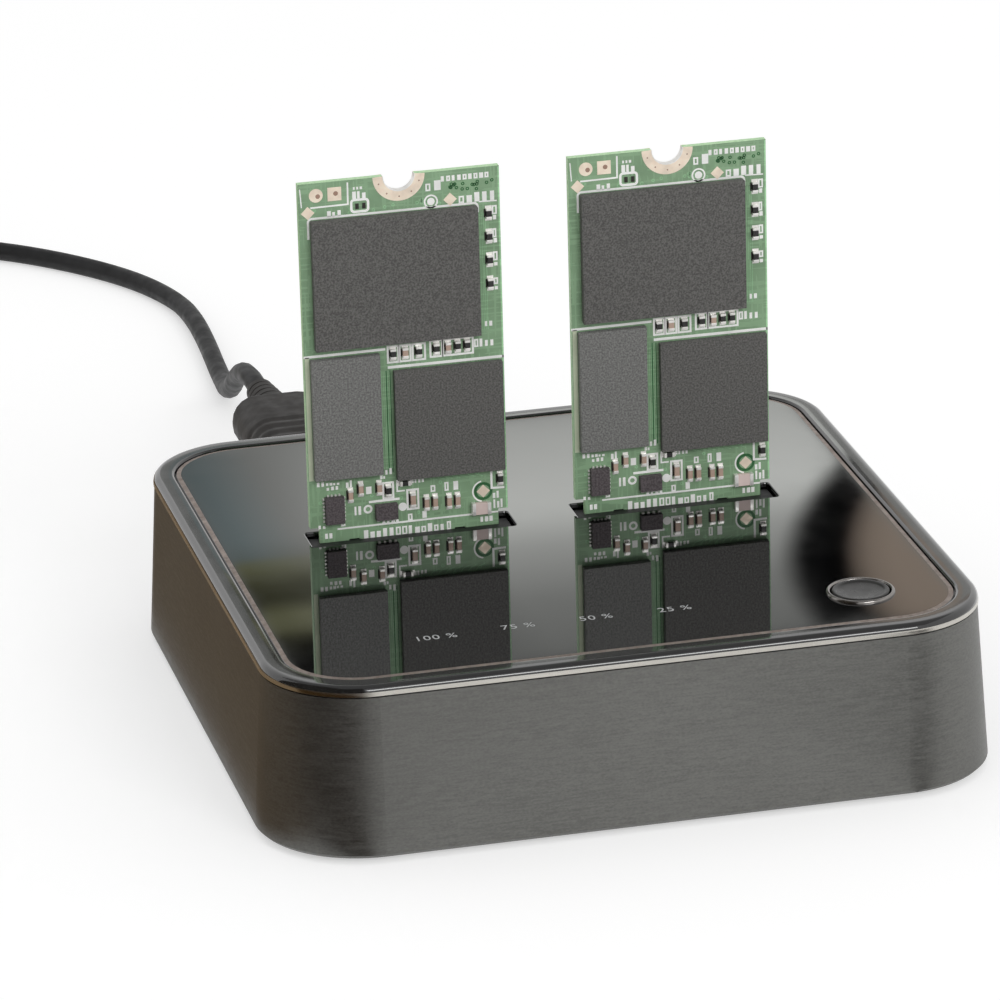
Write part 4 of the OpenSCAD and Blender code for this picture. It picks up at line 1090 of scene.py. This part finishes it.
def make_card_back(side):
    """Back of the card: the notch's plating, vias, test pads, copper runs and a printed frame."""
    back = Sketch(side, True)
    back.ring(CARD_MID, 0, 2.75, 1.76, 0.04, start=0, stop=180, sides=60)
    dice = random.Random(11)
    for _ in range(46):
        back.disc(dice.uniform(1.5, 20.5), dice.uniform(4, 36.5), 0.16, 0, 0.03, 8)
    for i in range(7):
        for j in range(2):
            back.disc(4 + i * 2.3, 34 + j * 1.6, 0.45, 0, 0.03, 16)
    back.done("back_pads", pad_gold, "part_ceramic")
    runs = Sketch(side, True)
    for i in range(6):
        left, right = 3 + i * 0.5, 18.5 - i * 0.5
        runs.line([(left, 6 + 0.5 * i), (left, 22 + i), (left + 5, 27 + i), (left + 5, 33)], 0.12, RUN_T)
        runs.line([(right, 5 + i), (right, 30 - i), (right - 3, 33 - i)], 0.12, RUN_T)
    runs.box_line(1.2, 4.6, 19.6, 12.5, 0.12)
    runs.done("back_runs", copper_run, "board_green")


def dress_drive(side):
    """One card drive and everything on it."""
    make_board(side)
    make_package(side, "flash", FLASH, 1.15, finishes["chip_epoxy"])
    make_package(side, "controller", CONTROLLER, 1.0, finishes["chip_epoxy"])
    make_package(side, "memory", MEMORY, 1.0, memory_epoxy)
    bodies, ends = make_passives(side)
    make_small_chips(side, bodies, ends)
    bodies["black"].done("black_parts", black_body, "part_ceramic", ["small_parts"])
    bodies["tan"].done("tan_parts", finishes["part_ceramic"], "part_ceramic")
    bodies["pale"].done("pale_part", pale_body, "part_ceramic")
    ends.done("solder_ends", tin, "screw_steel")
    for make in (make_ink, make_pads, make_runs, make_contacts, make_card_back):
        make(side)


# Cable, its plugs and its band, in millimetres

CORD_D = 2.4
port_low, port_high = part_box("usb_port")
USB_X = (port_low.x + port_high.x) / 2 / MM
USB_Z = (port_low.z + port_high.z) / 2 / MM
BOOT_END_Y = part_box("usb_plug_boot")[1].y / MM
TABLE_Z = CORD_D / 2
LEAD_ROUTE = [
    (USB_X, BOOT_END_Y, USB_Z), (USB_X, 80.5, USB_Z), (-17, 85, 10.6), (-16.8, 89.5, 8.8),
    (-16.5, 94, 6.4), (-16.1, 98.5, 4), (-15.7, 103.5, 2.2), (-15.2, 109, 1.4),
    (-14.8, 115, TABLE_Z), (-14.4, 121, TABLE_Z), (-14.1, 127, TABLE_Z), (-14, 133, TABLE_Z),
    (-14.4, 139, TABLE_Z), (-15.9, 145, TABLE_Z), (-18.3, 150.8, TABLE_Z), (-21.8, 156.6, TABLE_Z),
    (-26.3, 162.3, TABLE_Z), (-31.4, 167.4, TABLE_Z), (-37, 171.6, TABLE_Z), (-42.6, 175.2, TABLE_Z),
]
HOST_X = -87
HOST_Z = 3.75
HOST_BOOT_Y = 123
HOST_GRIP_Y = HOST_BOOT_Y - 8
TAIL_ROUTE = [
    (-87.6, 154.5, 3.2), (-87.4, 149, 1.8), (-87.3, 143.5, TABLE_Z), (-87.1, 138, 1.4),
    (-87, 132.5, 2.7), (HOST_X, 127.5, HOST_Z), (HOST_X, HOST_BOOT_Y, HOST_Z),
]

COIL_AT = (-67, 170)
COIL_R = 14
COIL_START = 47
COIL_END = 9 + (180 - COIL_START) / 360
COIL_STEP = CORD_D + 0.5
HALF_TURN = 0.5
LAYER_TURNS = (COIL_END - HALF_TURN) / 2
COIL_OUT = COIL_R + LAYER_TURNS * COIL_STEP / 2
COIL_IN = COIL_R - LAYER_TURNS * COIL_STEP / 2
BAND_T = 0.5
COIL_Z = TABLE_Z + BAND_T


def coil_radius(t):
    """Radius after t turns: in along the lower layer, round the inside, out along the upper one."""
    climb = min(HALF_TURN, max(0, t - LAYER_TURNS))
    if t <= LAYER_TURNS:
        return COIL_OUT - COIL_STEP * t
    if t <= LAYER_TURNS + HALF_TURN:
        return COIL_IN - COIL_STEP * climb * (1 - climb / HALF_TURN)
    return COIL_IN + COIL_STEP * (t - LAYER_TURNS - HALF_TURN)


def coil_point(t):
    """Point of the coil after t turns."""
    angle = math.radians(COIL_START + 360 * t)
    share = min(HALF_TURN, max(0, t - LAYER_TURNS)) / HALF_TURN
    rise = COIL_STEP * share * share * (3 - 2 * share)
    out = Vector((math.cos(angle), math.sin(angle), 0)) * coil_radius(t)
    return Vector((*COIL_AT, COIL_Z + rise)) + out


def coil_way(t):
    """Direction of the coil after t turns."""
    angle = math.radians(COIL_START + 360 * t)
    return Vector((-math.sin(angle), math.cos(angle), 0))


def smoothed(points):
    """Points on a smooth curve through all the given ones."""
    steps = 3
    held = [points[0]] + points + [points[-1]]
    result = []
    for a, b, c, d in zip(held, held[1:], held[2:], held[3:]):
        for t in [i / steps for i in range(steps)]:
            bend = (2 * a - 5 * b + 4 * c - d) * t * t + (3 * b - a - 3 * c + d) * t ** 3
            result.append(0.5 * (2 * b + (c - a) * t + bend))
    return result + [points[-1]]


def make_cable():
    """The whole cable as one curve from the dock's plug to the computer's plug."""
    turn_points = 48
    first, last = CORD_D * coil_way(0), CORD_D * coil_way(COIL_END)
    coil = [coil_point(0) - s * first for s in (1.5, 0.5)]
    coil += [coil_point(i / turn_points) for i in range(round(COIL_END * turn_points))]
    coil += [coil_point(COIL_END)] + [coil_point(COIL_END) + s * last for s in (0.5, 1.5)]
    lead = [Vector(p) for p in LEAD_ROUTE] + [coil[0] - s * coil_way(0) for s in (7, 3, 0)]
    tail = [coil[-1] + s * coil_way(COIL_END) for s in (0, 3, 7)] + [Vector(p) for p in TAIL_ROUTE]
    route = smoothed(lead)[:-1] + coil + smoothed(tail)[1:]
    curve = bpy.data.curves.new("cable", "CURVE")
    curve.dimensions = "3D"
    curve.bevel_depth = CORD_D / 2 * MM
    curve.bevel_resolution = 4
    curve.use_fill_caps = True
    spline = curve.splines.new("POLY")
    spline.points.add(len(route) - 1)
    for point, place in zip(spline.points, route):
        place.z = max(place.z, TABLE_Z)
        point.co = (*(place * MM), 1)
    spline.use_smooth = True
    curve.materials.append(finishes["cord_jacket"].material)
    cable = add_object("cable", curve)
    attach(cable, "root")
    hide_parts("cord_lead", "cord_coil", "cord_tail")
    return cable


def make_boot(name, node, start, length):
    """Tapered strain relief with grooves round it, along Y from its wide end."""
    x, y, z = start
    wide, narrow, sides = 2.5, CORD_D / 2 + 0.3, 32
    grooves, deep = 6, 0.35
    pitch = length / grooves
    profile = []
    for i in range(grooves):
        radius = wide + (narrow - wide) * i / grooves
        steps = ((radius, 0), (radius, 0.55), (radius - deep, 0.65), (radius - deep, 0.92))
        profile += [(at, (i + share) * pitch) for at, share in steps]
    profile += [(narrow, length - 0.3), (narrow - 0.2, length)]
    rings = [[Vector((a, y + along, b)) * MM for a, b in circle((x, z), radius, sides)]
             for radius, along in profile]
    return add_skin(name, rings, "capped", finishes["plug_plastic"], replaces=[node], crease=50)


def make_grip(name, node, start, length, way, half_w, half_h, radius):
    """Plug grip along Y: soft ends, and shallow finger grooves in its middle; way is 1 or -1."""
    x, y, z = start
    soft, soft_round, grooves, deep = 0.8, 0.6, 5, 0.22
    pitch = 0.4 * length / grooves
    turns = [math.radians(angle) for angle in (0, 30, 60, 90)]
    rows = [(soft * (1 - math.cos(a)), soft * (1 - math.sin(a)), soft_round) for a in turns]
    far_end = [(length - along, inset, share) for along, inset, share in reversed(rows)]
    for i in range(grooves):
        steps = ((0, 0), (0.2, deep), (0.5, deep), (0.7, 0))
        rows += [(0.3 * length + (i + step) * pitch, inset, 1) for step, inset in steps]
    rings = []
    for along, inset, share in rows + far_end:
        outline = outline_round(half_w - inset, half_h - inset, radius - inset * share, 5)
        rings.append([Vector((x + a, y + way * along, z + b)) * MM for a, b in outline])
    return add_skin(name, rings, "capped", finishes["plug_plastic"], replaces=[node], crease=50)


def make_band():
    """Woven band round the coil's bundle."""
    turn = math.radians(290)
    half_w, clear_w, gap, corner = 2.4, 2.5, 0.3, 1.1
    inmost = COIL_IN - COIL_STEP * HALF_TURN / 4 - CORD_D / 2
    near = math.sqrt(inmost ** 2 - clear_w ** 2) - gap - BAND_T
    far = COIL_OUT + CORD_D / 2 + gap + BAND_T
    top = COIL_Z + COIL_STEP + CORD_D / 2 + gap + BAND_T
    out = Vector((math.cos(turn), math.sin(turn), 0))
    across = Vector((-math.sin(turn), math.cos(turn), 0))
    up = Vector((0, 0, 1))
    middle = Vector((*COIL_AT, top / 2)) + out * (near + far) / 2
    rings = []
    for inset, shift in ((0, -half_w), (0, half_w), (BAND_T - 0.05, half_w), (BAND_T - 0.05, -half_w)):
        outline = outline_round((far - near) / 2 - inset, top / 2 - inset, corner - inset / 2, 5)
        rings.append([(middle + out * a + up * b + across * shift) * MM for a, b in outline])
    return add_skin("cable_band", rings, "meet", finishes["tie_fabric"], replaces=["cord_tie"], crease=50)


def make_leads():
    """Cable with its plugs, boots and band."""
    cable = make_cable()
    low, high = (corner.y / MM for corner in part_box("usb_plug_grip"))
    overlap = 0.1
    make_grip("dock_plug_grip", "usb_plug_grip", (USB_X, low, USB_Z), high - low, 1, 5.4, 3.15, 2.9)
    make_boot("dock_plug_boot", "usb_plug_boot", (USB_X, high - overlap, USB_Z), 10)
    host = (HOST_X, HOST_GRIP_Y, HOST_Z)
    host_grip = make_grip("host_plug_body", "host_plug_grip", host, 22, -1, 7.7, 3.75, 1.6)
    host = (HOST_X, HOST_GRIP_Y - overlap, HOST_Z)
    host_boot = make_boot("host_plug_relief", "host_plug_boot", host, 8)
    band = make_band()


bpy.context.scene.view_settings.view_transform = "Standard"
place_camera()
light_world()
lay_floor()
soft_light("front_key", place=(0.35, -1.4, 0.9), width=0.9, height=0.35, power=7)
hang_room()
hang_cards()
dress_frame()
make_rim()
make_plate()
make_button()
make_ring()
make_marks()
for drive_side in ("left", "right"):
    dress_drive(drive_side)
make_leads()
